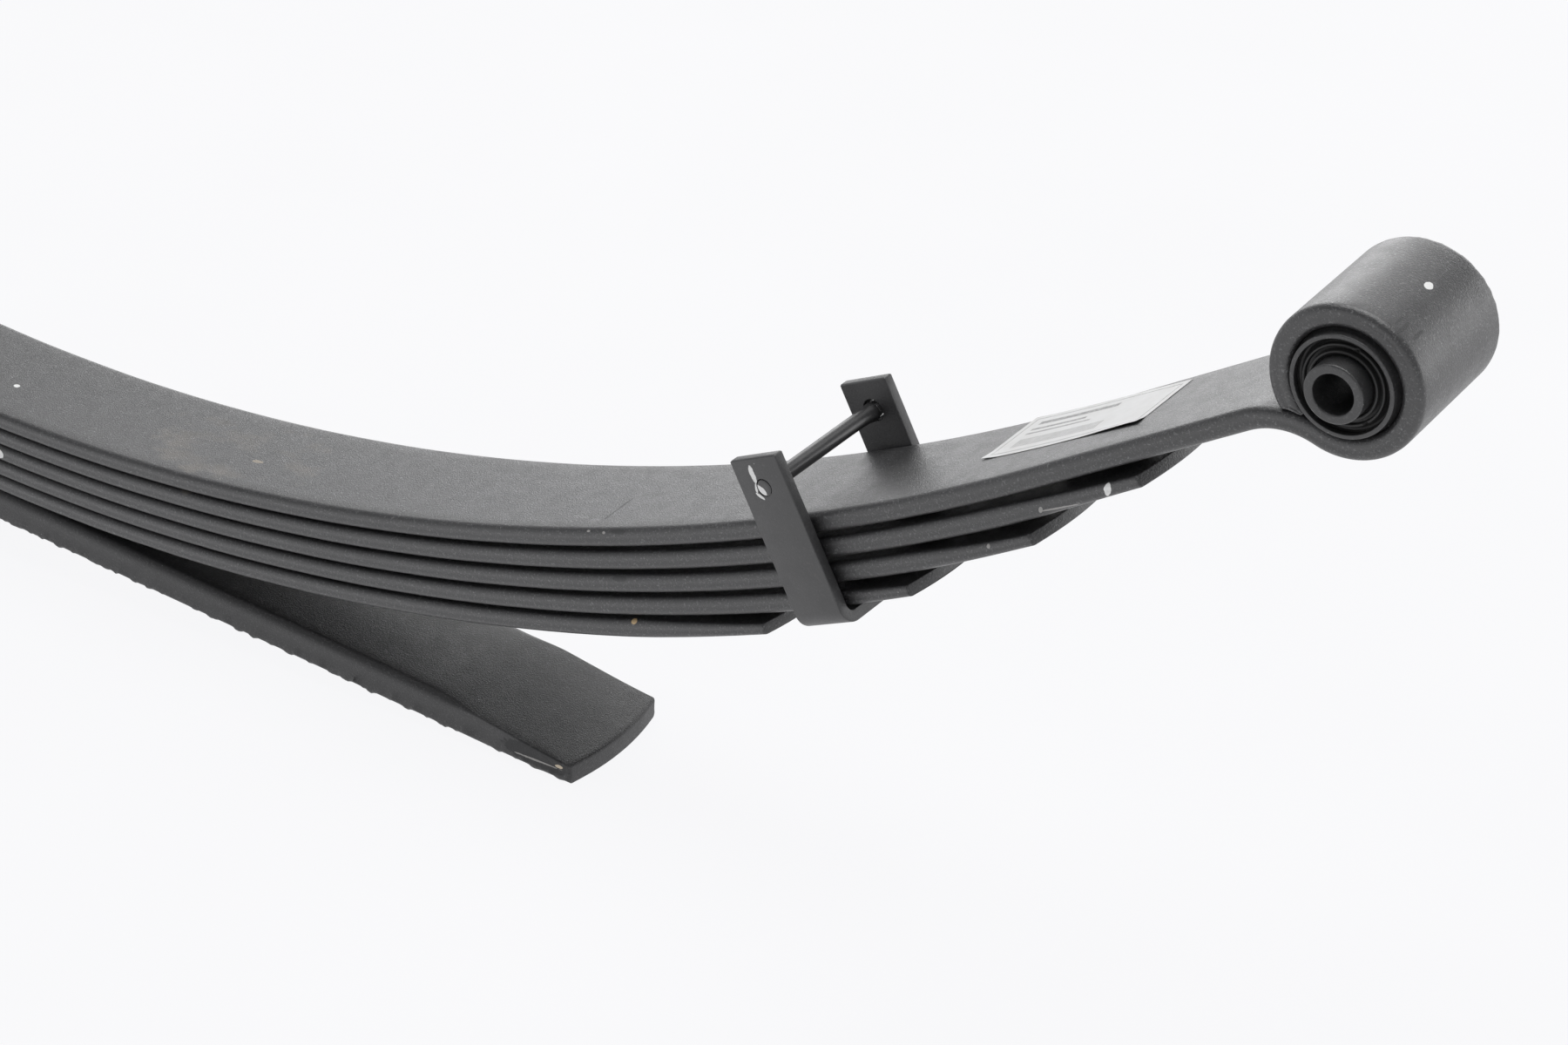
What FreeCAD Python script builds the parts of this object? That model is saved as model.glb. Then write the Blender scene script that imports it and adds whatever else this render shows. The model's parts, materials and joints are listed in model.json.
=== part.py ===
"""Semi-elliptic leaf spring: an eyed main leaf, four shorter leaves and a flat overload leaf.

Millimetres. The origin is the middle of the spring seat, on the main leaf's top face over the
center bolt. +X runs along the spring to its front eye, +Y across it and +Z up towards the eyes.
"""

import FreeCAD, Part
import math
import os

Vector = FreeCAD.Vector
os.makedirs("parts", exist_ok=True)

# The bar that the leaves are rolled from
BAR_WIDTH = 63.5
LEAF_T = 8.7
EDGE_ROUND = 2.8
EDGE_DISH = 0.25
OVERLOAD_T = 16.5
OVERLOAD_ROUND = 4.0

# The arch of the main leaf's top face, one half: flat, arc, straight
SEAT_FLAT = 20.0
ARCH_R = 1029.0
ARCH_ANGLE = 35.0
STRAIGHT = 97.0
FLAT_STEP = 4.8

# The upturned eye, rolled after a reverse bend and closed down on its own leaf
EYE_BORE_R = 21.0
REVERSE_R = 38.0
EYE_DROP = 1.1
EYE_END_ANGLE = 232.0
EYE_END_GAP = 0.4

# Tips of the shorter leaves: how far out their corners reach, their crown and their taper
LEAF_REACH = {"leaf_2": 657.0, "leaf_3": 615.7, "leaf_4": 564.5, "leaf_5": 498.9}
TIP_CROWN_R = 70.0
TIP_TAPER_LENGTH = 70.0
TIP_TAPER_TOP = 2.0
TIP_TAPER_BOTTOM = 1.7
TIP_OVERRUN = 1.0
OVERLOAD_REACH = 402.0
OVERLOAD_CROWN_R = 120.0
OVERLOAD_TAPER_LENGTH = 78.0
OVERLOAD_TAPER = 6.3

# Center bolt and its nut
BOLT_R = 4.76
BOLT_HOLE_R = 5.2
BOLT_HEAD_R = 7.9
BOLT_HEAD_H = 8.0
HEAD_SEAT_R = 8.4
BOLT_BELOW = 22.0
NUT_FLATS = 14.3
NUT_H = 8.3
NUT_SEAT_R = 8.7

# Eye bushing: swaged steel shell, lipped rubber and inner sleeve
SHELL_WALL = 1.8
SHELL_END_R = 19.9
SHELL_SWAGE_START = 29.0
SHELL_SWAGE_END = 31.0
SHELL_HALF = 34.0
SLEEVE_R = 11.35
SLEEVE_BORE_R = 7.77
SLEEVE_HALF = 40.5
SLEEVE_CHAMFER = 0.6
SLEEVE_CLEARANCE = 0.05
RUBBER_FLOOR = 30.0
RUBBER_LIPS = ((12.8, 0.65, 33.2), (15.3, 0.6, 32.6))

# Rebound clip near each end: strap, cross pin and the rivet that holds it to leaf 4
CLIP_X = 508.7
CLIP_LEAN = 1.8
CLIP_SKEW = 4.5
STRAP_WIDTH = 25.4
STRAP_T = 4.9
STRAP_INNER_HALF = 33.2
STRAP_BEND_R = 3.0
EAR_HEIGHT = 28.9
PIN_HEIGHT = 16.0
PIN_R = 3.4
PIN_COLLAR_R = 4.0
PIN_COLLAR_H = 1.6
RIVET_R = 4.0
RIVET_HEAD_R = 7.5
RIVET_HEAD_H = 4.0

# Anti-friction pads under the tips, and the paper label on the main leaf
PAD_R = 17.0
PAD_FROM_TIP = 34.0
LABEL_LENGTH = 82.0
LABEL_WIDTH = 38.0
LABEL_T = 0.3
LABEL_X = 610.0
LABEL_Y = 10.4
LABEL_TURN = 4.5

EAST_WEST = FreeCAD.Vector(1, 0, 0)
ACROSS = FreeCAD.Vector(0, 1, 0)
UP = FreeCAD.Vector(0, 0, 1)
LEAF_NAMES = ["main_leaf", "leaf_2", "leaf_3", "leaf_4", "leaf_5"]


def tangent(slope):
    """Direction along the spring at a slope in degrees."""
    a = math.radians(slope)
    return Vector(math.cos(a), 0, math.sin(a))


def normal(slope):
    """Direction square to the leaf's top face, on its upper side."""
    a = math.radians(slope)
    return Vector(-math.sin(a), 0, math.cos(a))


def placed(shape, point, slope):
    """A shape drawn flat at the origin, turned to a slope and moved to a point."""
    moved = shape.copy()
    moved.Placement = FreeCAD.Placement(point, FreeCAD.Rotation(ACROSS, -slope)).multiply(shape.Placement)
    return moved


def mirrored(shape):
    """The same piece at the other end of the spring."""
    return shape.mirror(Vector(0, 0, 0), EAST_WEST)


def bar_section(thickness, corner):
    """Bar cross-section in the YZ plane, top face at z = 0, with rounded and slightly dished edges."""
    half = BAR_WIDTH / 2
    inner = half - corner
    off = corner * (1 - math.sqrt(0.5))
    edges = [Part.makeLine(Vector(0, -inner, 0), Vector(0, inner, 0))]
    for side in (1, -1):
        top = Vector(0, side * inner, 0)
        shoulder = Vector(0, side * half, -corner)
        toe = Vector(0, side * half, corner - thickness)
        bottom = Vector(0, side * inner, -thickness)
        edges.append(Part.Arc(top, Vector(0, side * (half - off), -off), shoulder).toShape())
        middle = Vector(0, side * (half - EDGE_DISH), -thickness / 2)
        edges.append(Part.Arc(shoulder, middle, toe).toShape())
        edges.append(Part.Arc(toe, Vector(0, side * (half - off), off - thickness), bottom).toShape())
    edges.append(Part.makeLine(Vector(0, inner, -thickness), Vector(0, -inner, -thickness)))
    return Part.Face(Part.Wire(Part.__sortEdges__(edges)))


def plate_section(half_width, low, high):
    """Plain rectangular section in the YZ plane."""
    corners = [Vector(0, -half_width, low), Vector(0, half_width, low)]
    corners += [Vector(0, half_width, high), Vector(0, -half_width, high)]
    return Part.Face(Part.makePolygon(corners + corners[:1]))


def straight_run(section, start, slope, length):
    """A straight stretch of bar, and the point where it ends."""
    along = tangent(slope) * length
    return placed(section, start, slope).extrude(along), start + along


def bent_run(section, start, slope, radius, turn):
    """A stretch bent about a Y axis. A positive radius curls up and a negative one down."""
    centre = start + normal(slope) * radius
    axis = ACROSS * (-1 if radius > 0 else 1)
    solid = placed(section, start, slope).revolve(centre, axis, turn)
    new_slope = slope + (turn if radius > 0 else -turn)
    return solid, centre - normal(new_slope) * radius, new_slope


def joined(pieces):
    """Stretches of one bar as a single solid."""
    whole = pieces[0].multiFuse(pieces[1:]).removeSplitter()
    return whole.Solids[0]


def arch_of(index):
    """Flat half length, radius and depth of the top face of leaf number index, 0 for the main leaf."""
    return SEAT_FLAT + FLAT_STEP * index, ARCH_R + LEAF_T * index, -LEAF_T * index


def arch_slope(index, x, depth=0.0):
    """Slope where a line at some depth in a leaf passes a given x."""
    flat, radius, _ = arch_of(index)
    full = (x - flat) / (radius + depth)
    return min(math.degrees(math.asin(min(full, 1.0))), ARCH_ANGLE)


def arch_point(index, slope):
    """Point of a leaf's top face at a slope."""
    flat, radius, top = arch_of(index)
    a = math.radians(slope)
    return Vector(flat + radius * math.sin(a), 0, top + radius * (1 - math.cos(a)))


def eye_geometry():
    """Turn of the reverse bend, length of the straight run before it, and the eye's centre."""
    start = arch_point(0, ARCH_ANGLE) + tangent(ARCH_ANGLE) * STRAIGHT
    reach = REVERSE_R + EYE_BORE_R
    rise = REVERSE_R - EYE_DROP
    turn = math.degrees(math.acos(rise / reach))
    along = math.sqrt(reach ** 2 - rise ** 2)
    centre = start + tangent(ARCH_ANGLE) * along - normal(ARCH_ANGLE) * EYE_DROP
    return start, turn, centre


EYE_START, EYE_REVERSE_TURN, EYE_CENTRE = eye_geometry()


def eye_half(section):
    """From the end of the straight run: the reverse bend and the eye, whose scarfed end closes on the leaf."""
    bend, point, slope = bent_run(section, EYE_START, ARCH_ANGLE, -REVERSE_R, EYE_REVERSE_TURN)
    under, point, slope = bent_run(section, point, slope, EYE_BORE_R, 150)
    rest = EYE_END_ANGLE + 90 - slope
    over, _, _ = bent_run(section, point, slope, EYE_BORE_R, rest)
    keep_out = plate_section(BAR_WIDTH, -LEAF_T, EYE_END_GAP)
    back = EYE_START - tangent(ARCH_ANGLE) * EYE_BORE_R
    above_run, _ = straight_run(keep_out, back, ARCH_ANGLE, EYE_BORE_R)
    above_bend, _, _ = bent_run(keep_out, EYE_START, ARCH_ANGLE, -REVERSE_R, EYE_REVERSE_TURN)
    return [bend, under, over.cut(above_run).cut(above_bend)]


def bolt_hole():
    """Drill for the center bolt, through the whole pack."""
    return Part.makeCylinder(BOLT_HOLE_R, 200, Vector(0, 0, 50), -UP)


def with_bearing_ring(leaf, radius, face_z, inward):
    """The same leaf, with the ring under the bolt's head or nut as a face of its own."""
    ring = Part.makeCylinder(radius, 1, Vector(0, 0, face_z), inward).cut(bolt_hole())
    return leaf.cut(ring).fuse(ring).Solids[0]


def main_leaf():
    """Full-length leaf with an eye at each end."""
    section = bar_section(LEAF_T, EDGE_ROUND)
    seat, _ = straight_run(section, Vector(-SEAT_FLAT, 0, 0), 0, 2 * SEAT_FLAT)
    arch, point, slope = bent_run(section, Vector(SEAT_FLAT, 0, 0), 0, ARCH_R, ARCH_ANGLE)
    run, _ = straight_run(section, point, slope, STRAIGHT)
    half = [arch, run] + eye_half(section)
    leaf = joined([seat] + half + [mirrored(piece) for piece in half]).cut(bolt_hole())
    return with_bearing_ring(leaf, HEAD_SEAT_R, 0, -UP)


def tip_frame(index, reach):
    """Point and slope of a leaf's top face where its tip's corners are."""
    slope = arch_slope(index, reach, LEAF_T)
    corner = arch_point(index, slope) - normal(slope) * LEAF_T
    beyond = max(reach - corner.x, 0) / tangent(slope).x
    return corner + normal(slope) * LEAF_T + tangent(slope) * beyond, slope, beyond


def tip_end_cutter(corner, slope, thickness, crown_r):
    """What is cut away to leave a tip that is crowned in plan."""
    half = BAR_WIDTH / 2
    set_back = math.sqrt(crown_r ** 2 - half ** 2)
    block = Part.makeBox(3 * crown_r, 4 * half, 6 * thickness, Vector(-1, -2 * half, -3 * thickness))
    round_end = Part.makeCylinder(crown_r, 8 * thickness, Vector(-set_back, 0, -4 * thickness), UP)
    return placed(block.cut(round_end), corner, slope)


def wedge(outline):
    """Prism across the spring from a closed outline of points in the XZ plane."""
    face = Part.Face(Part.makePolygon(outline + outline[:1]))
    face.translate(-ACROSS * BAR_WIDTH)
    return face.extrude(ACROSS * 2 * BAR_WIDTH)


def taper_cutters(root_top, corner, slope, thickness, top_cut, bottom_cut):
    """Two wedges that thin a tip from above and from below."""
    n = normal(slope)
    past = tangent(slope) * 30
    away = n * 40
    root_bottom = root_top[0] - normal(root_top[1]) * thickness
    high = corner - n * top_cut
    low = corner - n * (thickness - bottom_cut)
    out_high = past + (high - root_top[0]) * (30 / (high - root_top[0]).Length) - tangent(slope) * 30
    out_low = (low - root_bottom) * (30 / (low - root_bottom).Length)
    upper = wedge([root_top[0], high + out_high, high + past + away, root_top[0] + away])
    lower = wedge([root_bottom, low + out_low, low + past - away, root_bottom - away])
    return [upper, lower] if top_cut and bottom_cut else [upper] if top_cut else [lower]


def short_leaf(index):
    """One of the shorter leaves, tapered and crowned at both tips."""
    section = bar_section(LEAF_T, EDGE_ROUND)
    flat, radius, top = arch_of(index)
    corner, slope, beyond = tip_frame(index, LEAF_REACH[LEAF_NAMES[index]])
    seat, _ = straight_run(section, Vector(-flat, 0, top), 0, 2 * flat)
    past_corner = TIP_OVERRUN if beyond == 0 else 0
    arch, point, end_slope = bent_run(section, Vector(flat, 0, top), 0, radius, slope + past_corner)
    half = [arch, straight_run(section, point, end_slope, beyond + 12)[0]]
    back = TIP_TAPER_LENGTH
    root_slope = slope - math.degrees(max(back - beyond, 0) / radius)
    root = (arch_point(index, root_slope), root_slope)
    cutters = [tip_end_cutter(corner, slope, LEAF_T, TIP_CROWN_R)]
    cutters += taper_cutters(root, corner, slope, LEAF_T, TIP_TAPER_TOP, TIP_TAPER_BOTTOM)
    leaf = joined([seat] + half + [mirrored(piece) for piece in half])
    for cutter in cutters:
        leaf = leaf.cut(cutter).cut(mirrored(cutter))
    return leaf.cut(bolt_hole()).Solids[0]


def overload_leaf():
    """Thick flat leaf at the bottom, thinned from above towards its crowned tips."""
    section = bar_section(OVERLOAD_T, OVERLOAD_ROUND)
    top = -LEAF_T * len(LEAF_NAMES)
    corner = Vector(OVERLOAD_REACH, 0, top)
    leaf, _ = straight_run(section, Vector(-OVERLOAD_REACH - 20, 0, top), 0, 2 * OVERLOAD_REACH + 40)
    root = (Vector(OVERLOAD_REACH - OVERLOAD_TAPER_LENGTH, 0, top), 0)
    cutters = [tip_end_cutter(corner, 0, OVERLOAD_T, OVERLOAD_CROWN_R)]
    cutters += taper_cutters(root, corner, 0, OVERLOAD_T, OVERLOAD_TAPER, 0)
    for cutter in cutters:
        leaf = leaf.cut(cutter).cut(mirrored(cutter))
    return with_bearing_ring(leaf.cut(bolt_hole()), NUT_SEAT_R, top - OVERLOAD_T, UP)


PACK_BOTTOM = -LEAF_T * len(LEAF_NAMES) - OVERLOAD_T


def center_bolt():
    """Bolt with a round locating head that stands on the spring seat."""
    head = Part.makeCylinder(BOLT_HEAD_R, BOLT_HEAD_H, Vector(0, 0, 0), UP)
    head = head.makeChamfer(0.8, [edge for edge in head.Edges if abs(edge.BoundBox.ZMin - BOLT_HEAD_H) < 0.01])
    end = PACK_BOTTOM - BOLT_BELOW
    shank = Part.makeCylinder(BOLT_R, -end, Vector(0, 0, end), UP)
    shank = shank.makeChamfer(0.9, [edge for edge in shank.Edges if abs(edge.BoundBox.ZMax - end) < 0.01])
    return head.fuse(shank).removeSplitter().Solids[0]


def center_bolt_nut():
    """Hexagon nut under the overload leaf, with rounded-off corners."""
    corner_r = NUT_FLATS / math.sqrt(3)
    ring = [Vector(corner_r * math.cos(k * math.pi / 3), corner_r * math.sin(k * math.pi / 3), 0) for k in range(6)]
    prism = Part.Face(Part.makePolygon(ring + ring[:1])).extrude(-UP * NUT_H)
    wide_r = NUT_FLATS / 2 + NUT_H * math.tan(math.radians(60))
    nut = prism.common(Part.makeCone(wide_r, NUT_FLATS / 2, NUT_H, Vector(0, 0, 0), -UP))
    nut = nut.cut(Part.makeCylinder(BOLT_R, 2 * NUT_H, Vector(0, 0, NUT_H / 2), -UP))
    nut.translate(UP * PACK_BOTTOM)
    return nut.Solids[0]


def turned_about_eye(outline):
    """Solid of revolution about the eye's axis from (radius, y) points, some of them arc middles."""
    edges = []
    last = None
    for item in outline + [outline[0]]:
        here = Vector(item[0], item[1], 0)
        if last is not None:
            if len(item) == 4:
                edges.append(Part.Arc(last, Vector(item[2], item[3], 0), here).toShape())
            else:
                edges.append(Part.makeLine(last, here))
        last = here
    solid = Part.Face(Part.Wire(edges)).revolve(Vector(0, 0, 0), ACROSS, 360)
    solid.translate(EYE_CENTRE)
    return solid.Solids[0] if solid.Solids else Part.makeSolid(solid)


def bushing_shell():
    """Steel shell pressed into the eye, swaged in at both ends."""
    inner = SHELL_END_R - SHELL_WALL
    body = EYE_BORE_R - SHELL_WALL
    outer = turned_about_eye([(EYE_BORE_R, -SHELL_SWAGE_START), (EYE_BORE_R, SHELL_SWAGE_START)]
                             + [(SHELL_END_R, SHELL_SWAGE_END), (SHELL_END_R, SHELL_HALF), (0, SHELL_HALF)]
                             + [(0, -SHELL_HALF), (SHELL_END_R, -SHELL_HALF), (SHELL_END_R, -SHELL_SWAGE_END)])
    cavity = turned_about_eye([(body, -SHELL_SWAGE_START), (body, SHELL_SWAGE_START)]
                              + [(inner, SHELL_SWAGE_END), (inner, SHELL_HALF + 5), (0, SHELL_HALF + 5)]
                              + [(0, -SHELL_HALF - 5), (inner, -SHELL_HALF - 5), (inner, -SHELL_SWAGE_END)])
    return outer.cut(cavity).Solids[0]


def bushing_rubber():
    """Rubber between shell and sleeve, with two raised lips round the sleeve at each end."""
    bore = SLEEVE_R + SLEEVE_CLEARANCE
    body = EYE_BORE_R - SHELL_WALL
    inner = SHELL_END_R - SHELL_WALL
    half = [(bore, 0), (bore, RUBBER_FLOOR + 1.5)]
    for radius, wide, high in RUBBER_LIPS:
        half.append((radius - wide, RUBBER_FLOOR + 1.0))
        half.append((radius - wide, high - wide))
        half.append((radius + wide, high - wide, radius, high))
        half.append((radius + wide, RUBBER_FLOOR + 0.6))
    half += [(inner - 1.0, RUBBER_FLOOR), (inner, RUBBER_FLOOR + 1.2), (inner, SHELL_SWAGE_END)]
    half += [(body, SHELL_SWAGE_START), (body, 0)]
    upper = turned_about_eye(half)
    middle = Vector(EYE_CENTRE.x, 0, EYE_CENTRE.z)
    return upper.fuse(upper.mirror(middle, ACROSS)).removeSplitter().Solids[0]


def bushing_sleeve():
    """Inner steel sleeve that the spring's bolt passes through."""
    c = SLEEVE_CHAMFER
    outline = [(SLEEVE_BORE_R, -SLEEVE_HALF + c), (SLEEVE_BORE_R, SLEEVE_HALF - c), (SLEEVE_BORE_R + c, SLEEVE_HALF)]
    outline += [(SLEEVE_R - c, SLEEVE_HALF), (SLEEVE_R, SLEEVE_HALF - c), (SLEEVE_R, -SLEEVE_HALF + c)]
    outline += [(SLEEVE_R - c, -SLEEVE_HALF), (SLEEVE_BORE_R + c, -SLEEVE_HALF)]
    return turned_about_eye(outline)


CLIP_SLOPE = arch_slope(0, CLIP_X)
CLIP_POINT = arch_point(0, CLIP_SLOPE)
CLIP_TURN = CLIP_SLOPE + CLIP_LEAN


def on_clip(shape):
    """A shape drawn square to the main leaf's top face, put where the front clip sits: leaning and askew."""
    turned = shape.copy()
    turned.rotate(Vector(0, 0, 0), UP, -CLIP_SKEW)
    return placed(turned, CLIP_POINT, CLIP_TURN)


def strap_floor():
    """Depth of leaf 4's lower face under the clip, square to the main leaf's top face."""
    gaps = 3 * FLAT_STEP * math.sin(math.radians(CLIP_SLOPE))
    foot = STRAP_WIDTH / 2 + BAR_WIDTH / 2 * math.sin(math.radians(CLIP_SKEW))
    sag = foot ** 2 / (2 * ARCH_R) + foot * math.tan(math.radians(CLIP_LEAN))
    return 4 * LEAF_T + gaps + sag + 0.15


STRAP_FLOOR = strap_floor()


def rounded_u(half, floor, top, corner):
    """Closed U outline, seen along the spring, with rounded lower corners."""
    off = corner * (1 - math.sqrt(0.5))
    edges = [Part.makeLine(Vector(0, half, top), Vector(0, half, corner - floor))]
    edges.append(Part.Arc(Vector(0, half, corner - floor), Vector(0, half - off, off - floor),
                          Vector(0, half - corner, -floor)).toShape())
    edges.append(Part.makeLine(Vector(0, half - corner, -floor), Vector(0, corner - half, -floor)))
    edges.append(Part.Arc(Vector(0, corner - half, -floor), Vector(0, off - half, off - floor),
                          Vector(0, -half, corner - floor)).toShape())
    edges.append(Part.makeLine(Vector(0, -half, corner - floor), Vector(0, -half, top)))
    edges.append(Part.makeLine(Vector(0, -half, top), Vector(0, half, top)))
    return Part.Face(Part.Wire(edges))


def clip_strap():
    """U-shaped strap round the main leaf and leaves 2 to 4, with an ear above each edge."""
    outer = rounded_u(STRAP_INNER_HALF + STRAP_T, STRAP_FLOOR + STRAP_T, EAR_HEIGHT, STRAP_BEND_R + STRAP_T)
    inner = rounded_u(STRAP_INNER_HALF, STRAP_FLOOR, EAR_HEIGHT + 5, STRAP_BEND_R)
    outer.translate(Vector(-STRAP_WIDTH / 2, 0, 0))
    inner.translate(Vector(-STRAP_WIDTH, 0, 0))
    strap = outer.extrude(Vector(STRAP_WIDTH, 0, 0)).cut(inner.extrude(Vector(2 * STRAP_WIDTH, 0, 0)))
    strap = strap.cut(Part.makeCylinder(PIN_R, 200, Vector(0, -100, PIN_HEIGHT), ACROSS))
    strap = strap.cut(Part.makeCylinder(RIVET_R, 20, Vector(0, 0, -STRAP_FLOOR + 5), -UP))
    return on_clip(strap.Solids[0])


def clip_cross_pin():
    """Pin that ties the two ears together over the main leaf, peened flush outside them."""
    outer = STRAP_INNER_HALF + STRAP_T
    pin = Part.makeCylinder(PIN_R, 2 * outer + 0.5, Vector(0, -outer - 0.25, PIN_HEIGHT), ACROSS)
    for side in (-1, 1):
        face = Vector(0, side * STRAP_INNER_HALF, PIN_HEIGHT)
        collar = Part.makeCone(PIN_COLLAR_R, PIN_R, PIN_COLLAR_H, face, ACROSS * -side)
        pin = pin.fuse(collar)
    return on_clip(pin.removeSplitter().Solids[0])


def clip_rivet():
    """Rivet through leaf 4 and the strap, domed under the strap and flush inside the leaf."""
    top = -STRAP_FLOOR + 4.5
    shank = Part.makeCylinder(RIVET_R, STRAP_T + 4.5, Vector(0, 0, top), -UP)
    dome_r = (RIVET_HEAD_R ** 2 + RIVET_HEAD_H ** 2) / (2 * RIVET_HEAD_H)
    base = -STRAP_FLOOR - STRAP_T
    ball = Part.makeSphere(dome_r, Vector(0, 0, base - RIVET_HEAD_H + dome_r))
    keep = Part.makeCylinder(RIVET_HEAD_R + 1, RIVET_HEAD_H + 1, Vector(0, 0, base), -UP)
    rivet = shank.fuse(ball.common(keep)).removeSplitter().Solids[0]
    return on_clip(rivet)


def rivet_pocket():
    """Blind hole in leaf 4 for the clip's rivet."""
    return on_clip(Part.makeCylinder(RIVET_R, 8, Vector(0, 0, -STRAP_FLOOR + 4.5), -UP))


def tip_pad(index, upper, lower):
    """Anti-friction disc that fills the gap between a leaf's tip and the leaf above it."""
    corner, slope, _ = tip_frame(index, LEAF_REACH[LEAF_NAMES[index]])
    foot = corner - tangent(slope) * PAD_FROM_TIP
    disc = Part.makeCylinder(PAD_R, LEAF_T, Vector(0, 0, -LEAF_T / 2), UP)
    disc = placed(disc, foot, slope)
    pads = disc.cut(upper).cut(lower).Solids
    return max(pads, key=lambda solid: solid.Volume)


def label():
    """Paper label stuck on the main leaf's top face, set slightly askew."""
    section = plate_section(BAR_WIDTH, 0, LABEL_T)
    begin = arch_slope(0, LABEL_X - LABEL_LENGTH)
    start = arch_point(0, begin)
    bent, point, slope = bent_run(section, start, begin, ARCH_R, ARCH_ANGLE - begin)
    straight, _ = straight_run(section, point, slope, LABEL_LENGTH)
    band = bent.fuse(straight).removeSplitter()
    middle = arch_slope(0, LABEL_X)
    card = Part.makeBox(LABEL_LENGTH, LABEL_WIDTH, 40, Vector(-LABEL_LENGTH / 2, -LABEL_WIDTH / 2, -20))
    card.rotate(Vector(0, 0, 0), UP, -LABEL_TURN)
    card.translate(ACROSS * LABEL_Y)
    return band.common(placed(card, arch_point(0, middle), middle)).Solids[0]


def save(name, shape):
    """One STEP file for one piece."""
    if not shape.isValid():
        print("invalid shape:", name)
    shape.exportStep("parts/" + name + ".step")
    print(name, round(shape.Volume / 1000, 2), "cm3", len(shape.Solids), "solid")


def save_at_both_ends(name, shape):
    """A piece of the front end, and its mirror image at the rear end."""
    save(name + "_front", shape)
    save(name + "_rear", mirrored(shape))


def build():
    """Every piece of the spring."""
    leaves = [main_leaf()] + [short_leaf(index) for index in range(1, len(LEAF_NAMES))]
    leaves[3] = leaves[3].cut(rivet_pocket()).cut(mirrored(rivet_pocket())).Solids[0]
    for name, leaf in zip(LEAF_NAMES, leaves):
        save(name, leaf)
    save("overload_leaf", overload_leaf())
    save("center_bolt", center_bolt())
    save("center_bolt_nut", center_bolt_nut())
    save_at_both_ends("bushing_shell", bushing_shell())
    save_at_both_ends("bushing_rubber", bushing_rubber())
    save_at_both_ends("bushing_sleeve", bushing_sleeve())
    save_at_both_ends("clip_strap", clip_strap())
    save_at_both_ends("clip_cross_pin", clip_cross_pin())
    save_at_both_ends("clip_rivet", clip_rivet())
    for index in range(1, len(LEAF_NAMES)):
        pad = tip_pad(index, leaves[index - 1], leaves[index])
        save_at_both_ends("tip_pad_" + LEAF_NAMES[index], pad)
    save("paper_label", label())
    print("eye centre", EYE_CENTRE, "pack bottom", PACK_BOTTOM, "clip", CLIP_POINT, CLIP_TURN, STRAP_FLOOR)


build()
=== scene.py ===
"""Leaf spring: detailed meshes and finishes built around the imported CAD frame. Metres."""
import json
import math

import bmesh
import bpy
from mathutils import Matrix, Vector, noise


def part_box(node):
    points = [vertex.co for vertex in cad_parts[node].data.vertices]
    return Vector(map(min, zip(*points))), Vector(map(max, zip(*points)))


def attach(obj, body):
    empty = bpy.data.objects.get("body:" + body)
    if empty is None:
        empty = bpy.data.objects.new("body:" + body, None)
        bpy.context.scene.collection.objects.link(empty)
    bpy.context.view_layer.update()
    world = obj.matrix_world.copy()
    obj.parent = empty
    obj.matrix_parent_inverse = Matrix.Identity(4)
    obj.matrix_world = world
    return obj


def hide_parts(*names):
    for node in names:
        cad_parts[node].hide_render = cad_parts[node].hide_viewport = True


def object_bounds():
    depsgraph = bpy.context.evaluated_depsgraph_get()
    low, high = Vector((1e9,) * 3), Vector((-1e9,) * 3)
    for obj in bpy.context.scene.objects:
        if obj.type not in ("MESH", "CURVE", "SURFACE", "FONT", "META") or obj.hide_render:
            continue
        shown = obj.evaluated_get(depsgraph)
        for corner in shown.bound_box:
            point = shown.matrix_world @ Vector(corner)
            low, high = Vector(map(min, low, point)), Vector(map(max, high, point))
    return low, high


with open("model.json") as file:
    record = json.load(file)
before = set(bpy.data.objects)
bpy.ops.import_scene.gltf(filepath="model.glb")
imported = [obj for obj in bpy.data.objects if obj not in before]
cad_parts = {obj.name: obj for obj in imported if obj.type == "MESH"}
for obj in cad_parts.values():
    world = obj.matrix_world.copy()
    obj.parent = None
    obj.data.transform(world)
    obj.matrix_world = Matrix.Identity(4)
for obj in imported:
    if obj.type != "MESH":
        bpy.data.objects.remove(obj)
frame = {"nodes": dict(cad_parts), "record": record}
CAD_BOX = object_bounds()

MM = 0.001

# ---------------------------------------------------------------- sizes, in millimetres
BAR_HALF = 31.75
LEAF_T = 8.7
EDGE_ROUND = 2.8
EDGE_DISH = 0.25
OVERLOAD_T = 16.5
OVERLOAD_ROUND = 4.0
SEAT_FLAT = 20.0
ARCH_R = 1029.0
ARCH_ANGLE = 35.0
STRAIGHT = 97.0
FLAT_STEP = 4.8
EYE_BORE_R = 21.0
REVERSE_R = 38.0
EYE_DROP = 1.1
EYE_END_ANGLE = 232.0
EYE_END_GAP = 0.4
LEAF_REACH = {"leaf_2": 657.0, "leaf_3": 615.7, "leaf_4": 564.5, "leaf_5": 498.9}
TIP_CROWN_R = 70.0
TIP_TAPER = 70.0
TIP_TAPER_TOP = 2.0
TIP_TAPER_BOTTOM = 1.7
OVERLOAD_REACH = 402.0
OVERLOAD_CROWN_R = 120.0
OVERLOAD_TAPER_LENGTH = 78.0
OVERLOAD_TAPER = 6.3
CROWN_BLEND = 60.0
END_ROUND = 0.5
OVERLOAD_END_ROUND = 1.3

EYE = Vector(next(m["pos_m"] for m in frame["record"]["mounts"] if m["name"] == "front_eye_bolt_bore")) / MM
PACK_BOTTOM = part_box("overload_leaf")[0].z / MM


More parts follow.
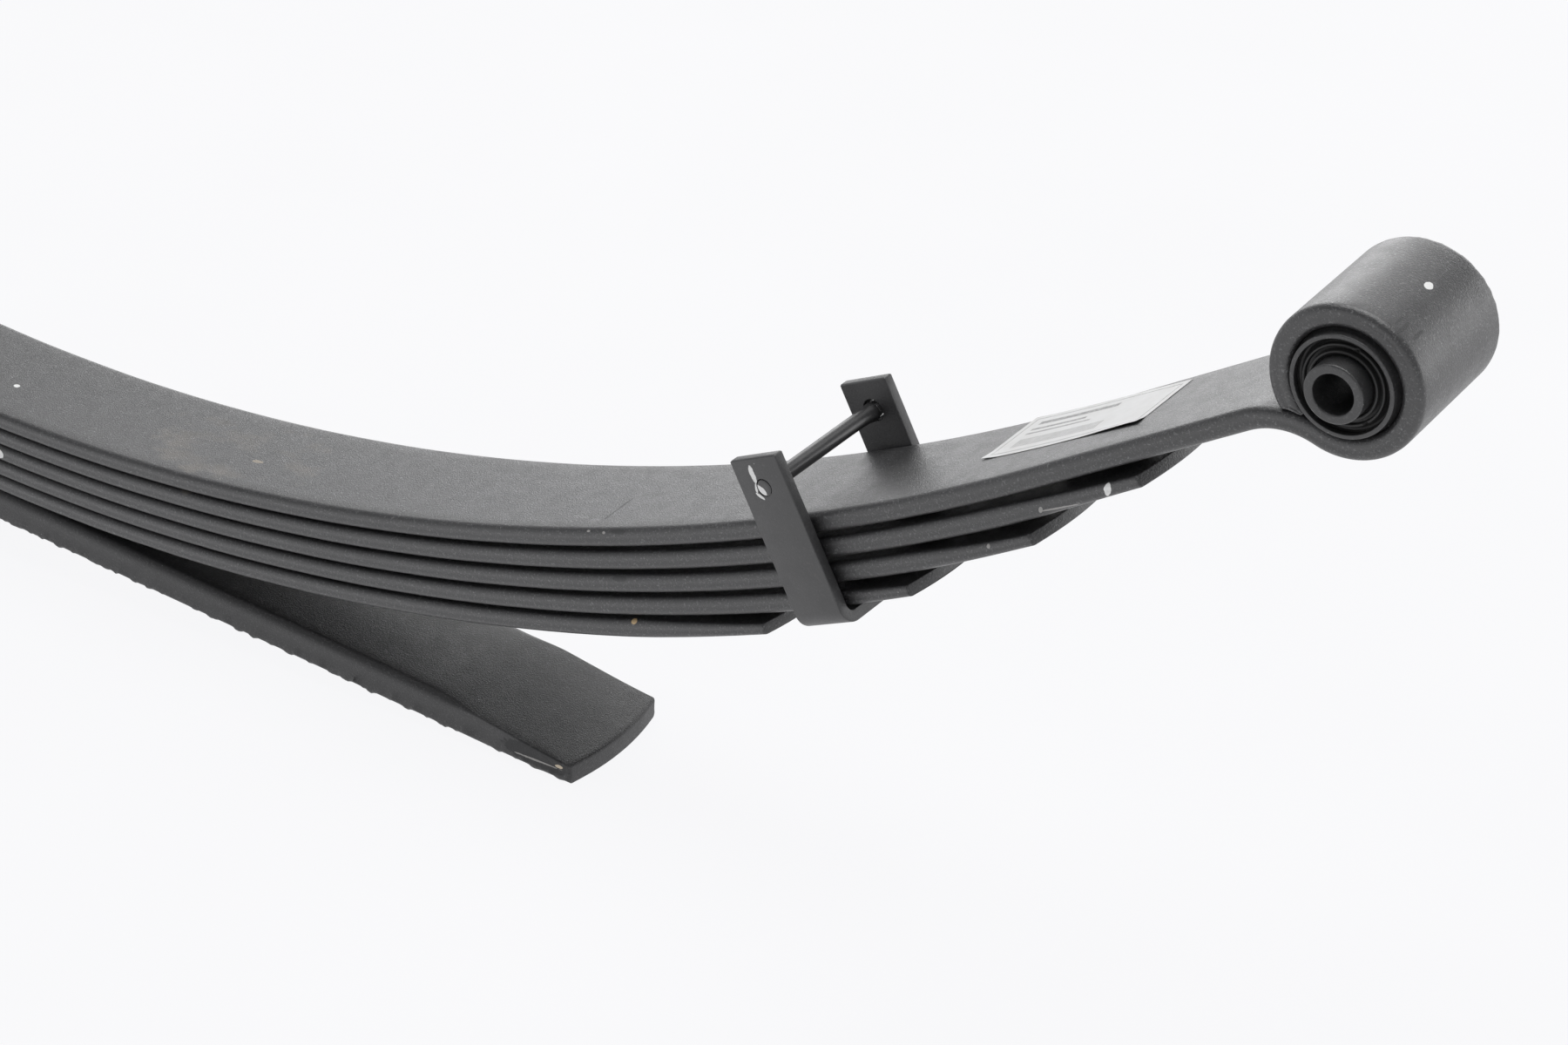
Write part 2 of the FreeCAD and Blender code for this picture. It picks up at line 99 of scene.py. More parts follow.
# ---------------------------------------------------------------- mesh helpers
def new_piece(name, verts, faces, node, material, body="leaf_pack", sharp=32):
    """A mesh piece from millimetre points: it stands for a CAD node and rides on that node's body."""
    mesh = bpy.data.meshes.new(name)
    mesh.from_pydata([Vector(v) * MM for v in verts], [], faces)
    piece = bpy.data.objects.new(name, mesh)
    bpy.context.scene.collection.objects.link(piece)
    finish_mesh(mesh, sharp)
    mesh.materials.append(material)
    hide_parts(node)
    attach(piece, body)
    return piece


def finish_mesh(mesh, sharp):
    """Faces turned outwards, smooth shading, and edges sharper than an angle kept crisp."""
    made = bmesh.new()
    made.from_mesh(mesh)
    bmesh.ops.remove_doubles(made, verts=made.verts, dist=1e-7)
    bmesh.ops.recalc_face_normals(made, faces=made.faces)
    for face in made.faces:
        face.smooth = True
    limit = math.radians(sharp)
    for edge in made.edges:
        edge.smooth = len(edge.link_faces) == 2 and edge.calc_face_angle(0) < limit
    made.to_mesh(mesh)
    made.free()


def paint_wear(piece, weight):
    """Stores how worn each point is, from a function of its place in millimetres."""
    layer = piece.data.attributes.new("wear", "FLOAT", "POINT")
    for i, v in enumerate(piece.data.vertices):
        layer.data[i].value = weight(v.co / MM)


def tube_faces(rings, count):
    """Quads between rings of count points each."""
    faces = []
    for k in range(rings - 1):
        a, b = k * count, (k + 1) * count
        for j in range(count):
            i = (j + 1) % count
            faces.append((a + j, a + i, b + i, b + j))
    return faces


def turned_faces(segments, count):
    """Quads of a closed outline of count points, turned all the way round."""
    faces = []
    for k in range(segments):
        a, b = k * count, ((k + 1) % segments) * count
        for j in range(count):
            i = (j + 1) % count
            faces.append((a + j, a + i, b + i, b + j))
    return faces


def lathe(profile, centre, segments=144, radius_at=None):
    """Verts and faces of a closed (radius, y) outline turned about a Y axis through centre."""
    verts = []
    for k in range(segments):
        a = 2 * math.pi * k / segments
        for r, y in profile:
            if radius_at:
                r, y = radius_at(r, y, a)
            verts.append((centre[0] + r * math.cos(a), centre[1] + y, centre[2] + r * math.sin(a)))
    return verts, turned_faces(segments, len(profile))


def arc_points(cr, cy, radius, start, end, steps):
    """Points of an arc in (radius, y), with its ends, from one angle to another in degrees."""
    found = []
    for k in range(steps + 1):
        a = math.radians(start + (end - start) * k / steps)
        found.append((cr + radius * math.cos(a), cy + radius * math.sin(a)))
    return found


def smooth(x):
    """0 below 0, 1 above 1, and a smooth step between."""
    x = min(max(x, 0.0), 1.0)
    return x * x * (3 - 2 * x)


# ---------------------------------------------------------------- leaves
def walk(start, runs):
    """Stations (x, z, slope in radians) along runs of (length, curvature, step)."""
    x, z, slope = start
    stations = [(x, z, slope)]
    for length, curve, step in runs:
        n = max(1, math.ceil(length / step))
        for _ in range(n):
            d = length / n
            turn = d * curve
            chord = d if abs(turn) < 1e-9 else 2 * math.sin(turn / 2) / curve
            x += chord * math.cos(slope + turn / 2)
            z += chord * math.sin(slope + turn / 2)
            slope += turn
            stations.append((x, z, slope))
    return stations


def both_halves(half):
    """Stations from the rear end to the front one, out of the front half's stations."""
    rear = [(-x, z, -slope) + tuple(rest) for x, z, slope, *rest in half[:0:-1]]
    return rear + [tuple(s) for s in half]


def section(thickness, corner, trim):
    """Upper chain of a bar's section from the rear-hand edge's middle to the other: (y, depth) points."""
    corner = min(corner, 0.42 * thickness)
    half = BAR_HALF - trim
    dish = min(EDGE_DISH, 0.04 * thickness)
    middle = thickness / 2
    side = [(half - dish, middle), (half - dish * 0.5, middle - (middle - corner) * 0.55)]
    for k in range(6):
        a = math.radians(k * 18)
        side.append((half - corner + corner * math.cos(a), corner - corner * math.sin(a)))
    inner = [(half - corner) * (1 - k / 6) for k in range(1, 6)]
    right = side + [(y, 0.0) for y in inner] + [(0.0, 0.0)]
    return [(-y, d) for y, d in right] + [(y, d) for y, d in reversed(right[:-1])]


def bar_ring(station, end_sign, crown_r):
    """Ring of points round the bar at a station.

    A station is (x, z, slope, top drop, thickness, corners, crown share, trim, push).
    """
    x, z, slope, drop, thickness, corners, crown, trim, push = station
    n = Vector((-math.sin(slope), 0, math.cos(slope)))
    t = Vector((math.cos(slope), 0, math.sin(slope)))
    base = Vector((x, 0, z)) - n * (drop + trim) + t * (push * end_sign)
    thick = thickness - 2 * trim
    upper = section(thick, corners[0], trim)
    lower = section(thick, corners[1], trim)
    back = math.sqrt(crown_r ** 2 - BAR_HALF ** 2)
    ring = []
    for y, depth in upper:
        shift = crown * (math.sqrt(crown_r ** 2 - y * y) - back) * end_sign
        ring.append(base + Vector((0, y, 0)) - n * depth + t * shift)
    for y, depth in reversed(lower[1:-1]):
        shift = crown * (math.sqrt(crown_r ** 2 - y * y) - back) * end_sign
        ring.append(base + Vector((0, y, 0)) - n * (thick - depth) + t * shift)
    return ring


def cap_faces(first, chain, count, flip):
    """Quads across a ring's end, between its upper and lower chains."""
    faces = []
    for j in range(chain - 1):
        a, b = first + j, first + j + 1
        c = first + (count - j - 1) % count if j + 1 < chain - 1 else b
        d = first + (count - j) % count
        corners = [a, b, c, d]
        kept = [v for k, v in enumerate(corners) if v not in corners[:k]]
        faces.append(tuple(reversed(kept)) if flip else tuple(kept))
    return faces


def with_end_round(half, radius):
    """Adds the stations that round the front end's last edges over."""
    last = half[-1]
    rows = [last[:7] + (0.0, -radius)]
    for k in range(1, 7):
        a = math.radians(15 * k)
        rows.append(last[:7] + (radius * (1 - math.cos(a)), radius * (math.sin(a) - 1)))
    return half[:-1] + rows


def bar_piece(name, half, crown_r, corner_wear, end_round=END_ROUND, paint=None):
    """A whole leaf from its front half's stations."""
    stations = both_halves(with_end_round(half, end_round))
    verts = []
    for station in stations:
        verts += bar_ring(station, 1 if station[0] >= 0 else -1, crown_r)
    count = len(verts) // len(stations)
    chain = count // 2 + 1
    faces = tube_faces(len(stations), count)
    faces += cap_faces(0, chain, count, True)
    faces += cap_faces((len(stations) - 1) * count, chain, count, False)
    verts = [roughened(v, name) for v in verts]
    piece = new_piece(name + "_bar", verts, faces, name, material=paint or PAINT)
    paint_wear(piece, corner_wear)


def roughened(v, name):
    """The rolled bar's small unevenness, mostly along its edges."""
    edge = smooth((abs(v.y) - BAR_HALF + 3.5) / 2.5)
    slow = noise.noise(Vector((v.x / 38, v.z / 38, 7.0 + v.y / 90)))
    quick = noise.noise(Vector((v.x / 6, v.z / 6, v.y / 20)))
    out = 0.14 * slow * edge + 0.05 * quick * edge
    if name == "main_leaf" and abs(v.x) > 696 and v.y > 0:
        jag = noise.noise(Vector((v.x / 2.3, v.z / 2.3, 5.0))) + 0.7 * noise.noise(Vector((v.x, v.z, 1.0)))
        out += 0.55 * min(jag, 0.15) * edge
    if name == "overload_leaf":
        low = smooth((PACK_BOTTOM + 5.5 - v.z) / 4)
        jag = noise.noise(Vector((v.x / 7, 3.1, v.y / 30))) + 0.6 * noise.noise(Vector((v.x / 2.6, 9.4, 0)))
        out += 1.4 * jag * edge * low
        return Vector((v.x, v.y + math.copysign(min(out, 0.25), v.y), v.z - 1.4 * jag * edge * low))
    return Vector((v.x, v.y + math.copysign(out - 0.15 * edge, v.y), v.z))


def arch(index):
    """Flat half length, radius and depth of a leaf's top face; index 0 is the main leaf."""
    return SEAT_FLAT + FLAT_STEP * index, ARCH_R + LEAF_T * index, -LEAF_T * index


def top_of(index, x):
    """Height and slope of an arched leaf's top face at x, in the front half."""
    flat, radius, top = arch(index)
    rise = math.radians(ARCH_ANGLE)
    end = flat + radius * math.sin(rise)
    if x > end:
        return top + radius * (1 - math.cos(rise)) + (x - end) * math.tan(rise), rise
    slope = math.asin((x - flat) / radius)
    return top + radius * (1 - math.cos(slope)), slope


def incoming_radius():
    """Distance of the main leaf's own top face from the eye's centre, by angle in degrees about it."""
    turn = math.acos((REVERSE_R - EYE_DROP) / (REVERSE_R + EYE_BORE_R))
    start = (SEAT_FLAT + ARCH_R * math.sin(math.radians(ARCH_ANGLE)),
             ARCH_R * (1 - math.cos(math.radians(ARCH_ANGLE))), math.radians(ARCH_ANGLE))
    found = []
    for x, z, _ in walk(start, [(STRAIGHT, 0, 0.5), (REVERSE_R * turn, -1 / REVERSE_R, 0.3)]):
        angle = math.degrees(math.atan2(z - EYE.z, x - EYE.x)) % 360
        found.append((angle, math.hypot(x - EYE.x, z - EYE.z)))
    return sorted(found)


def scarf_thickness(angle, limits):
    """Thickness of the eye's wrapped end where its own leaf leaves less room than a full bar."""
    if angle <= limits[0][0]:
        return LEAF_T
    for (a, ra), (b, rb) in zip(limits, limits[1:]):
        if a <= angle <= b:
            room = ra + (rb - ra) * (angle - a) / (b - a) - EYE_END_GAP - EYE_BORE_R
            return min(LEAF_T, room)
    return LEAF_T


def main_leaf():
    """The eyed main leaf."""
    turn = math.acos((REVERSE_R - EYE_DROP) / (REVERSE_R + EYE_BORE_R))
    wrap = math.radians(EYE_END_ANGLE + 90 - ARCH_ANGLE) + turn
    runs = [(SEAT_FLAT, 0, 5), (ARCH_R * math.radians(ARCH_ANGLE), 1 / ARCH_R, 4), (STRAIGHT, 0, 4)]
    runs += [(REVERSE_R * turn, -1 / REVERSE_R, 1.2), (EYE_BORE_R * wrap, 1 / EYE_BORE_R, 0.9)]
    limits = incoming_radius()
    half = []
    for x, z, slope in walk((0, 0, 0), runs):
        angle = math.degrees(slope) - 90
        thickness = scarf_thickness(angle, limits) if angle > 180 else LEAF_T
        half.append((x, z, slope, 0.0, thickness, (EDGE_ROUND, EDGE_ROUND), 0.0, 0.0, 0.0))

    def wear(v):
        barrel = smooth((abs(v.x) - 690) / 20) * smooth((abs(v.y) - 29) / 2.5)
        return 0.25 * smooth((abs(v.y) - 29) / 2) + 0.5 * barrel

    bar_piece("main_leaf", half, TIP_CROWN_R, wear)


def short_leaf(index, name):
    """A shorter leaf, thinned and crowned at its tips."""
    flat, radius, top = arch(index)
    reach = LEAF_REACH[name]
    angle = math.asin(min((reach - flat) / (radius + LEAF_T), math.sin(math.radians(ARCH_ANGLE))))
    corner_x = flat + (radius + LEAF_T) * math.sin(angle)
    beyond = max(reach - corner_x, 0) / math.cos(angle)
    runs = [(flat, 0, 5), (radius * angle, 1 / radius, 4)] + ([(beyond, 0, 4)] if beyond else [])
    path = walk((0, top, 0), runs)
    total = flat + radius * angle + beyond
    travelled, half = 0.0, []
    for k, (x, z, slope) in enumerate(path):
        if k:
            travelled += math.hypot(x - path[k - 1][0], z - path[k - 1][1])
        left = total - travelled
        thin = smooth((TIP_TAPER - left) / TIP_TAPER) if left < TIP_TAPER else 0.0
        thin = 0.5 * thin + 0.5 * max(0.0, 1 - left / TIP_TAPER)
        drop = TIP_TAPER_TOP * thin
        thickness = LEAF_T - (TIP_TAPER_TOP + TIP_TAPER_BOTTOM) * thin
        crown = smooth(1 - left / CROWN_BLEND)
        corner = EDGE_ROUND - 1.2 * thin
        half.append((x, z, slope, drop, thickness, (corner, corner), crown, 0.0, 0.0))

    def wear(v):
        tip = smooth((abs(v.x) - reach + 14) / 12)
        return 0.25 * smooth((abs(v.y) - 29) / 2) + 0.75 * tip * smooth((abs(v.y) - 24) / 8)

    bar_piece(name, half, TIP_CROWN_R, wear)


def overload_leaf():
    """The thick flat leaf, thinned from above at its tips."""
    top = PACK_BOTTOM + OVERLOAD_T
    half = []
    for x, z, slope in walk((0, top, 0), [(OVERLOAD_REACH, 0, 1.5)]):
        left = OVERLOAD_REACH - x
        near_tip = 1 - left / OVERLOAD_TAPER_LENGTH
        thin = smooth(near_tip) * 0.6 + 0.4 * max(0.0, near_tip)
        drop = OVERLOAD_TAPER * thin
        corners = (OVERLOAD_ROUND * (1 - 0.8 * smooth(3 * thin)), OVERLOAD_ROUND - 1.8)
        crown = smooth(1 - left / CROWN_BLEND)
        half.append((x, z, slope, drop, OVERLOAD_T - drop, corners, crown, 0.0, 0.0))

    def wear(v):
        low = smooth((PACK_BOTTOM + 6 - v.z) / 4) * smooth((abs(v.y) - 27) / 4)
        tip = smooth((abs(v.x) - OVERLOAD_REACH + 40) / 36) * smooth((abs(v.y) - 24) / 6)
        return 0.2 + 0.45 * low + 0.5 * tip

    bar_piece("overload_leaf", half, OVERLOAD_CROWN_R, wear, OVERLOAD_END_ROUND, OVERLOAD_SHADED_PAINT)


# ---------------------------------------------------------------- materials
def node_material(name):
    """A node material, its Principled shader, and a helper that adds and wires nodes."""
    material = bpy.data.materials.new(name)
    material.use_nodes = True
    tree = material.node_tree
    shader = tree.nodes["Principled BSDF"]

    def add(kind, inputs=None, **settings):
        made = tree.nodes.new(kind)
        for key, value in settings.items():
            setattr(made, key, value)
        for key, value in (inputs or {}).items():
            if isinstance(value, bpy.types.NodeSocket):
                tree.links.new(value, made.inputs[key])
            else:
                made.inputs[key].default_value = value
        return made

    return material, shader, add, tree.links.new


def grain(add, scale, detail=4.0, roughness=0.6, vector=None):
    """Noise in the row frame, scale in cells per metre."""
    place = vector or add("ShaderNodeTexCoord").outputs["Object"]
    made = add("ShaderNodeTexNoise", {"Vector": place, "Scale": scale, "Detail": detail,
                                      "Roughness": roughness})
    return made.outputs["Fac"]


def remap(add, value, low, high, to_low=0.0, to_high=1.0):
    """value from low..high to to_low..to_high, held at both ends."""
    made = add("ShaderNodeMapRange", {"Value": value, "From Min": low, "From Max": high,
                                      "To Min": to_low, "To Max": to_high})
    return made.outputs["Result"]


def maths(add, how, a, b=0.0, clamp=False):
    """One arithmetic node."""
    return add("ShaderNodeMath", {0: a, 1: b}, operation=how, use_clamp=clamp).outputs["Value"]


def mixed(add, share, a, b):
    """Colour a where share is 0 and b where it is 1."""
    made = add("ShaderNodeMix", {"Factor": share, "A": a, "B": b}, data_type="RGBA")
    return made.outputs["Result"]


def rgba(value, tint=(1.0, 1.0, 1.0)):
    """A grey of that linear value, tinted."""
    return (value * tint[0], value * tint[1], value * tint[2], 1.0)


def mark_mask(add, centre, size, raggedness=0.35, turn=0.0, cells=420.0):
    """1 inside an uneven blob round a place (millimetres), turned about Y by some degrees, and 0 outside."""
    place = add("ShaderNodeTexCoord").outputs["Object"]
    wobble = add("ShaderNodeTexNoise", {"Vector": place, "Scale": cells, "Detail": 3.0})
    offset = add("ShaderNodeVectorMath", {0: place, 1: tuple(c * MM for c in centre)}, operation="SUBTRACT")
    turned = add("ShaderNodeVectorRotate", {"Vector": offset.outputs["Vector"], "Angle": math.radians(turn)},
                 rotation_type="Y_AXIS")
    scaled = add("ShaderNodeVectorMath", {0: turned.outputs["Vector"], 1: tuple(1 / (s * MM) for s in size)},
                 operation="MULTIPLY")
    length = add("ShaderNodeVectorMath", {0: scaled.outputs["Vector"]}, operation="LENGTH").outputs["Value"]
    ragged = maths(add, "MULTIPLY_ADD", wobble.outputs["Fac"], raggedness * 2)
    ragged.node.inputs[2].default_value = -raggedness
    return remap(add, maths(add, "ADD", length, ragged), 0.92, 1.04, 1.0, 0.0)


def dust(add, cells, radius):
    """1 on sparse tiny dots, 0 elsewhere."""
    place = add("ShaderNodeTexCoord").outputs["Object"]
    made = add("ShaderNodeTexVoronoi", {"Vector": place, "Scale": cells})
    dot = maths(add, "LESS_THAN", made.outputs["Distance"], radius)
    some = add("ShaderNodeSeparateColor", {"Color": made.outputs["Color"]}).outputs["Red"]
    return maths(add, "MULTIPLY", dot, maths(add, "GREATER_THAN", some, 0.72))


def painted_steel(name, base, sparkle, roughness, marks, grit=1.0, scuffed=False, gloss=0.95):
    """Satin black paint on steel: fine sparkling grain, soft clouding, chipped edges and marks.

    A mark is (place, size, colour, turn), in millimetres and degrees.
    """
    material, shader, add, link = node_material(name)
    fine = grain(add, 1500.0, 2.0, 0.7)
    specks = remap(add, grain(add, 950.0, 2.0, 0.8), 0.56, 0.70)
    cloud = grain(add, 9.0, 3.0)
    mottle = grain(add, 130.0, 4.0)
    broad = remap(add, cloud, 0.3, 0.7, 0.86, 1.14)
    tone = maths(add, "MULTIPLY", broad, remap(add, mottle, 0.3, 0.7, 0.92, 1.08))
    dark = add("ShaderNodeVectorMath", {0: rgba(base, (1.0, 0.985, 1.03))[:3], "Scale": tone},
               operation="SCALE").outputs["Vector"]
    colour = mixed(add, maths(add, "MULTIPLY", specks, sparkle), dark, rgba(0.45, (0.97, 0.98, 1.0)))
    wear = add("ShaderNodeAttribute", attribute_name="wear").outputs["Fac"]
    chips = remap(add, grain(add, 240.0, 6.0, 0.75), 0.61, 0.69)
    chipped = maths(add, "MULTIPLY", chips, maths(add, "MULTIPLY", wear, 0.5))
    colour = mixed(add, chipped, colour, rgba(0.13, (1.0, 0.96, 0.92)))
    rough = remap(add, mottle, 0.3, 0.7, roughness - 0.05, roughness + 0.06)
    rough = maths(add, "ADD", rough, maths(add, "MULTIPLY", chipped, 0.2))
    rough = maths(add, "SUBTRACT", rough, maths(add, "MULTIPLY", specks, 0.3 * sparkle))
    if scuffed:
        colour, rough = scuffs(add, colour, rough)
    colour = mixed(add, maths(add, "MULTIPLY", dust(add, 150.0, 0.035), 0.5), colour, rgba(0.5))
    for centre, size, shade, turn in marks:
        mark = mark_mask(add, centre, size, turn=turn)
        colour = mixed(add, mark, colour, shade)
        rough = maths(add, "ADD", rough, maths(add, "MULTIPLY", mark, 0.15))
    bump = add("ShaderNodeBump", {"Height": fine, "Strength": grit, "Distance": 0.0002})
    wave = add("ShaderNodeBump", {"Height": mottle, "Strength": 0.05, "Distance": 0.0006,
                                  "Normal": bump.outputs["Normal"]})
    link(colour, shader.inputs["Base Color"])
    link(rough, shader.inputs["Roughness"])
    link(wave.outputs["Normal"], shader.inputs["Normal"])
    shader.inputs["Specular IOR Level"].default_value = gloss
    return material


SCUFF_PLACE = (190, 0, 14)
SCUFF_SIZE = (52, 28, 40)


def scuffs(add, colour, rough):
    """Dusty rubbed patches on the main leaf's top face, between the seat and the clip."""
    place = add("ShaderNodeTexCoord").outputs["Object"]
    streaky = add("ShaderNodeMapping", {"Vector": place, "Scale": (1.0, 1.8, 1.0)}).outputs["Vector"]
    patch = remap(add, grain(add, 26.0, 5.0, 0.58, streaky), 0.44, 0.62)
    dim = remap(add, grain(add, 52.0, 5.0, 0.7, streaky), 0.56, 0.66)
    inside = mark_mask(add, SCUFF_PLACE, SCUFF_SIZE, 0.7, cells=60.0)
    share = maths(add, "MULTIPLY", patch, inside)
    colour = mixed(add, maths(add, "MULTIPLY", share, 0.30), colour, rgba(0.40, (1.0, 0.88, 0.72)))
    dimmed = maths(add, "MULTIPLY", maths(add, "MULTIPLY", dim, inside), 0.5)
    colour = mixed(add, dimmed, colour, rgba(0.016))
    return colour, maths(add, "ADD", rough, maths(add, "MULTIPLY", share, 0.15))


def rubber_material():
    """Moulded black rubber with a dull, slightly dusty skin."""
    material, shader, add, link = node_material("moulded_rubber")
    powder = remap(add, grain(add, 90.0, 5.0), 0.45, 0.75)
    colour = mixed(add, maths(add, "MULTIPLY", powder, 0.35), rgba(0.016), rgba(0.055, (1.0, 0.98, 0.95)))
    link(colour, shader.inputs["Base Color"])
    link(remap(add, powder, 0.0, 1.0, 0.42, 0.68), shader.inputs["Roughness"])
    bump = add("ShaderNodeBump", {"Height": grain(add, 900.0, 4.0), "Strength": 0.3, "Distance": 0.0002})
    link(bump.outputs["Normal"], shader.inputs["Normal"])
    return material


def plastic_material():
    """Black nylon of the anti-friction pads."""
    material, shader, add, link = node_material("nylon_pad")
    tone = remap(add, grain(add, 60.0, 4.0), 0.3, 0.7, 0.010, 0.020)
    colour = add("ShaderNodeCombineColor", {"Red": tone, "Green": tone, "Blue": tone})
    link(colour.outputs["Color"], shader.inputs["Base Color"])
    link(remap(add, grain(add, 200.0), 0.3, 0.7, 0.40, 0.55), shader.inputs["Roughness"])
    bump = add("ShaderNodeBump", {"Height": grain(add, 700.0), "Strength": 0.2, "Distance": 0.0002})
    link(bump.outputs["Normal"], shader.inputs["Normal"])
    return material


def bolt_material():
    """Black phosphate finish of the center bolt and nut."""
    material, shader, add, link = node_material("phosphate_steel")
    tone = remap(add, grain(add, 420.0, 5.0), 0.3, 0.7, 0.022, 0.050)
    colour = add("ShaderNodeCombineColor", {"Red": tone, "Green": tone, "Blue": tone})
    link(colour.outputs["Color"], shader.inputs["Base Color"])
    link(remap(add, grain(add, 160.0), 0.3, 0.7, 0.32, 0.50), shader.inputs["Roughness"])
    shader.inputs["Metallic"].default_value = 0.35
    bump = add("ShaderNodeBump", {"Height": grain(add, 1500.0), "Strength": 0.25, "Distance": 0.0001})
    link(bump.outputs["Normal"], shader.inputs["Normal"])
    return material


# ---------------------------------------------------------------- paint marks and finishes
def on_top(x, y):
    """A place on the main leaf's top face."""
    return x, y, top_of(0, x)[0]


def on_edge(index, x, down, y=-BAR_HALF):
    """A place on an arched leaf's near edge, straight down from its top face."""
    return x, y, top_of(index, x)[0] - down


def on_barrel(angle, y):
    """A place on the front eye's outside, by angle in degrees about the eye's axis."""
    outer, a = EYE_BORE_R + LEAF_T, math.radians(angle)
    return EYE.x + outer * math.cos(a), y, EYE.z + outer * math.sin(a)


def on_overload(x, up):
    """A place on the overload leaf's near edge, up from its bottom face."""
    return x, -BAR_HALF, PACK_BOTTOM + up


WHITE_DAB = (0.80, 0.80, 0.79, 1.0)
GOLD_DAB = (0.60, 0.42, 0.22, 1.0)
# CREAM_DAB_AND_GLINT is a cream paint spot, and also a painted highlight at the end of the overload leaf's
# glint line. BARE_AND_GLINT is bare steel at chips and scratches, and also a painted glint line along the
# overload leaf's bottom corner.
CREAM_DAB_AND_GLINT = (0.55, 0.47, 0.36, 1.0)
BARE_AND_GLINT = (0.30, 0.29, 0.28, 1.0)
SCRATCHED = (0.14, 0.14, 0.14, 1.0)
SCUFFED = (0.26, 0.22, 0.17, 1.0)
RUBBED = (0.012, 0.012, 0.013, 1.0)
SPRING_MARKS = (
    (on_barrel(68, 3), (1.6, 2.3, 1.6), WHITE_DAB, 0),
    (on_edge(1, 643, 5), (1.5, 3.0, 2.7), WHITE_DAB, 0),
    (on_top(58, -7.5), (1.6, 1.3, 1.2), WHITE_DAB, 0),
    (on_edge(2, 68.5, 4), (2.4, 2.0, 2.4), WHITE_DAB, 0),
    (on_edge(4, 433, 0.5, -31), (1.6, 1.6, 1.5), GOLD_DAB, 20),
    (on_top(207, -7), (3.0, 1.3, 1.6), SCUFFED, 10),
    (on_top(410.5, -12.5), (0.7, 11.5, 1.6), RUBBED, 0),
    (on_top(399.5, -20.5), (2.4, 0.9, 1.2), SCRATCHED, 22),
    (on_top(406.5, -22.5), (3.0, 0.8, 1.2), SCRATCHED, 22),
    (on_top(394, -19), (1.6, 0.7, 1.2), SCRATCHED, 22),
    (on_edge(0, 400.5, -0.3), (0.9, 1.2, 0.6), BARE_AND_GLINT, 22),
    (on_edge(0, 409, 1), (1.1, 1.2, 0.5), BARE_AND_GLINT, 22),
    (on_edge(0, 417, 1.7), (0.8, 1.2, 0.6), BARE_AND_GLINT, 22),
    (on_edge(0, 424, 1.1), (4.2, 1.2, 1.5), RUBBED, 22),
    (on_edge(2, 426, 1.6), (4.0, 1.2, 1.5), RUBBED, 22),
    (on_edge(1, 624.5, 7.5), (9.5, 1.2, 0.38), BARE_AND_GLINT, 31),
    (on_edge(1, 616.5, 6.2), (0.9, 1.2, 1.3), BARE_AND_GLINT, 0),
    (on_edge(2, 616, 6.8), (1.4, 1.6, 1.2), CREAM_DAB_AND_GLINT, 20),
    (on_edge(2, 596, 3.6), (0.8, 1.2, 1.0), BARE_AND_GLINT, 0),
    (on_barrel(58.6, -25.5), (0.8, 5.0, 0.9), RUBBED, 30),
    (on_barrel(64, -24), (0.5, 3.6, 0.6), RUBBED, 20),
    (on_barrel(48.7, -22), (0.6, 4.2, 0.8), RUBBED, 45),
)
PAINT = painted_steel("satin_spring_paint", 0.025, 0.22, 0.36, SPRING_MARKS, 1.0, True)
OVERLOAD_MARKS = (
    (on_overload(384, 7), (19.0, 4.0, 5.0), RUBBED, 0),
    # Painted highlight: a thin bright line along the overload leaf's bottom corner near the tip, and a light
    # spot at its end. Partly bare metal, partly a glint painted into the colour.
    (on_overload(383.5, 5.1), (12.5, 2.0, 0.45), BARE_AND_GLINT, 4),
    (on_overload(396, 7.4), (2.2, 2.0, 0.9), CREAM_DAB_AND_GLINT, 12),
)
# Painted shade: a darker, less glossy copy of the spring paint, so that the overload leaf reads darker as if
# its near edge lay in shade.
OVERLOAD_SHADED_PAINT = painted_steel("satin_overload_paint_shaded", 0.022, 0.10, 0.44, OVERLOAD_MARKS, gloss=0.6)
SHELL_PAINT = painted_steel("bushing_coat", 0.018, 0.10, 0.42, (), 0.7)
RUBBER = rubber_material()
NYLON = plastic_material()
PHOSPHATE = bolt_material()


# ---------------------------------------------------------------- eye bushings
SHELL_WALL = 1.8
SHELL_END_R = 19.9
SHELL_SWAGE_START = 29.0
SHELL_SWAGE_END = 31.0
SHELL_HALF = 34.0
SLEEVE_R = 11.35
SLEEVE_BORE_R = 7.77
SLEEVE_HALF = 40.5
RUBBER_FLOOR = 30.0
LIPS = ((12.8, 0.65, 33.2), (15.3, 0.6, 32.6))


def symmetric(half):
    """A closed outline from its y > 0 half, which runs from inside to outside."""
    return half + [(r, -y) for r, y in reversed(half)]


def lip_breaks(r, y, a):
    """Small flash breaks in the rubber's lips."""
    if abs(y) > RUBBER_FLOOR + 1.5 and 12.0 < r < 16.2:
        for at, lip in ((78, 15.3), (312, 15.3), (292, 12.8)):
            gap = abs((math.degrees(a) - at + 180) % 360 - 180)
            if gap < 6 and abs(r - lip) < 1.0:
                y -= math.copysign(1.3 * smooth(1 - gap / 5), y)
    wave = 0.12 * noise.noise(Vector((r / 3, math.cos(a) * 4, math.sin(a) * 4)))
    return r, y + (wave if abs(y) > RUBBER_FLOOR - 0.5 else 0.0)


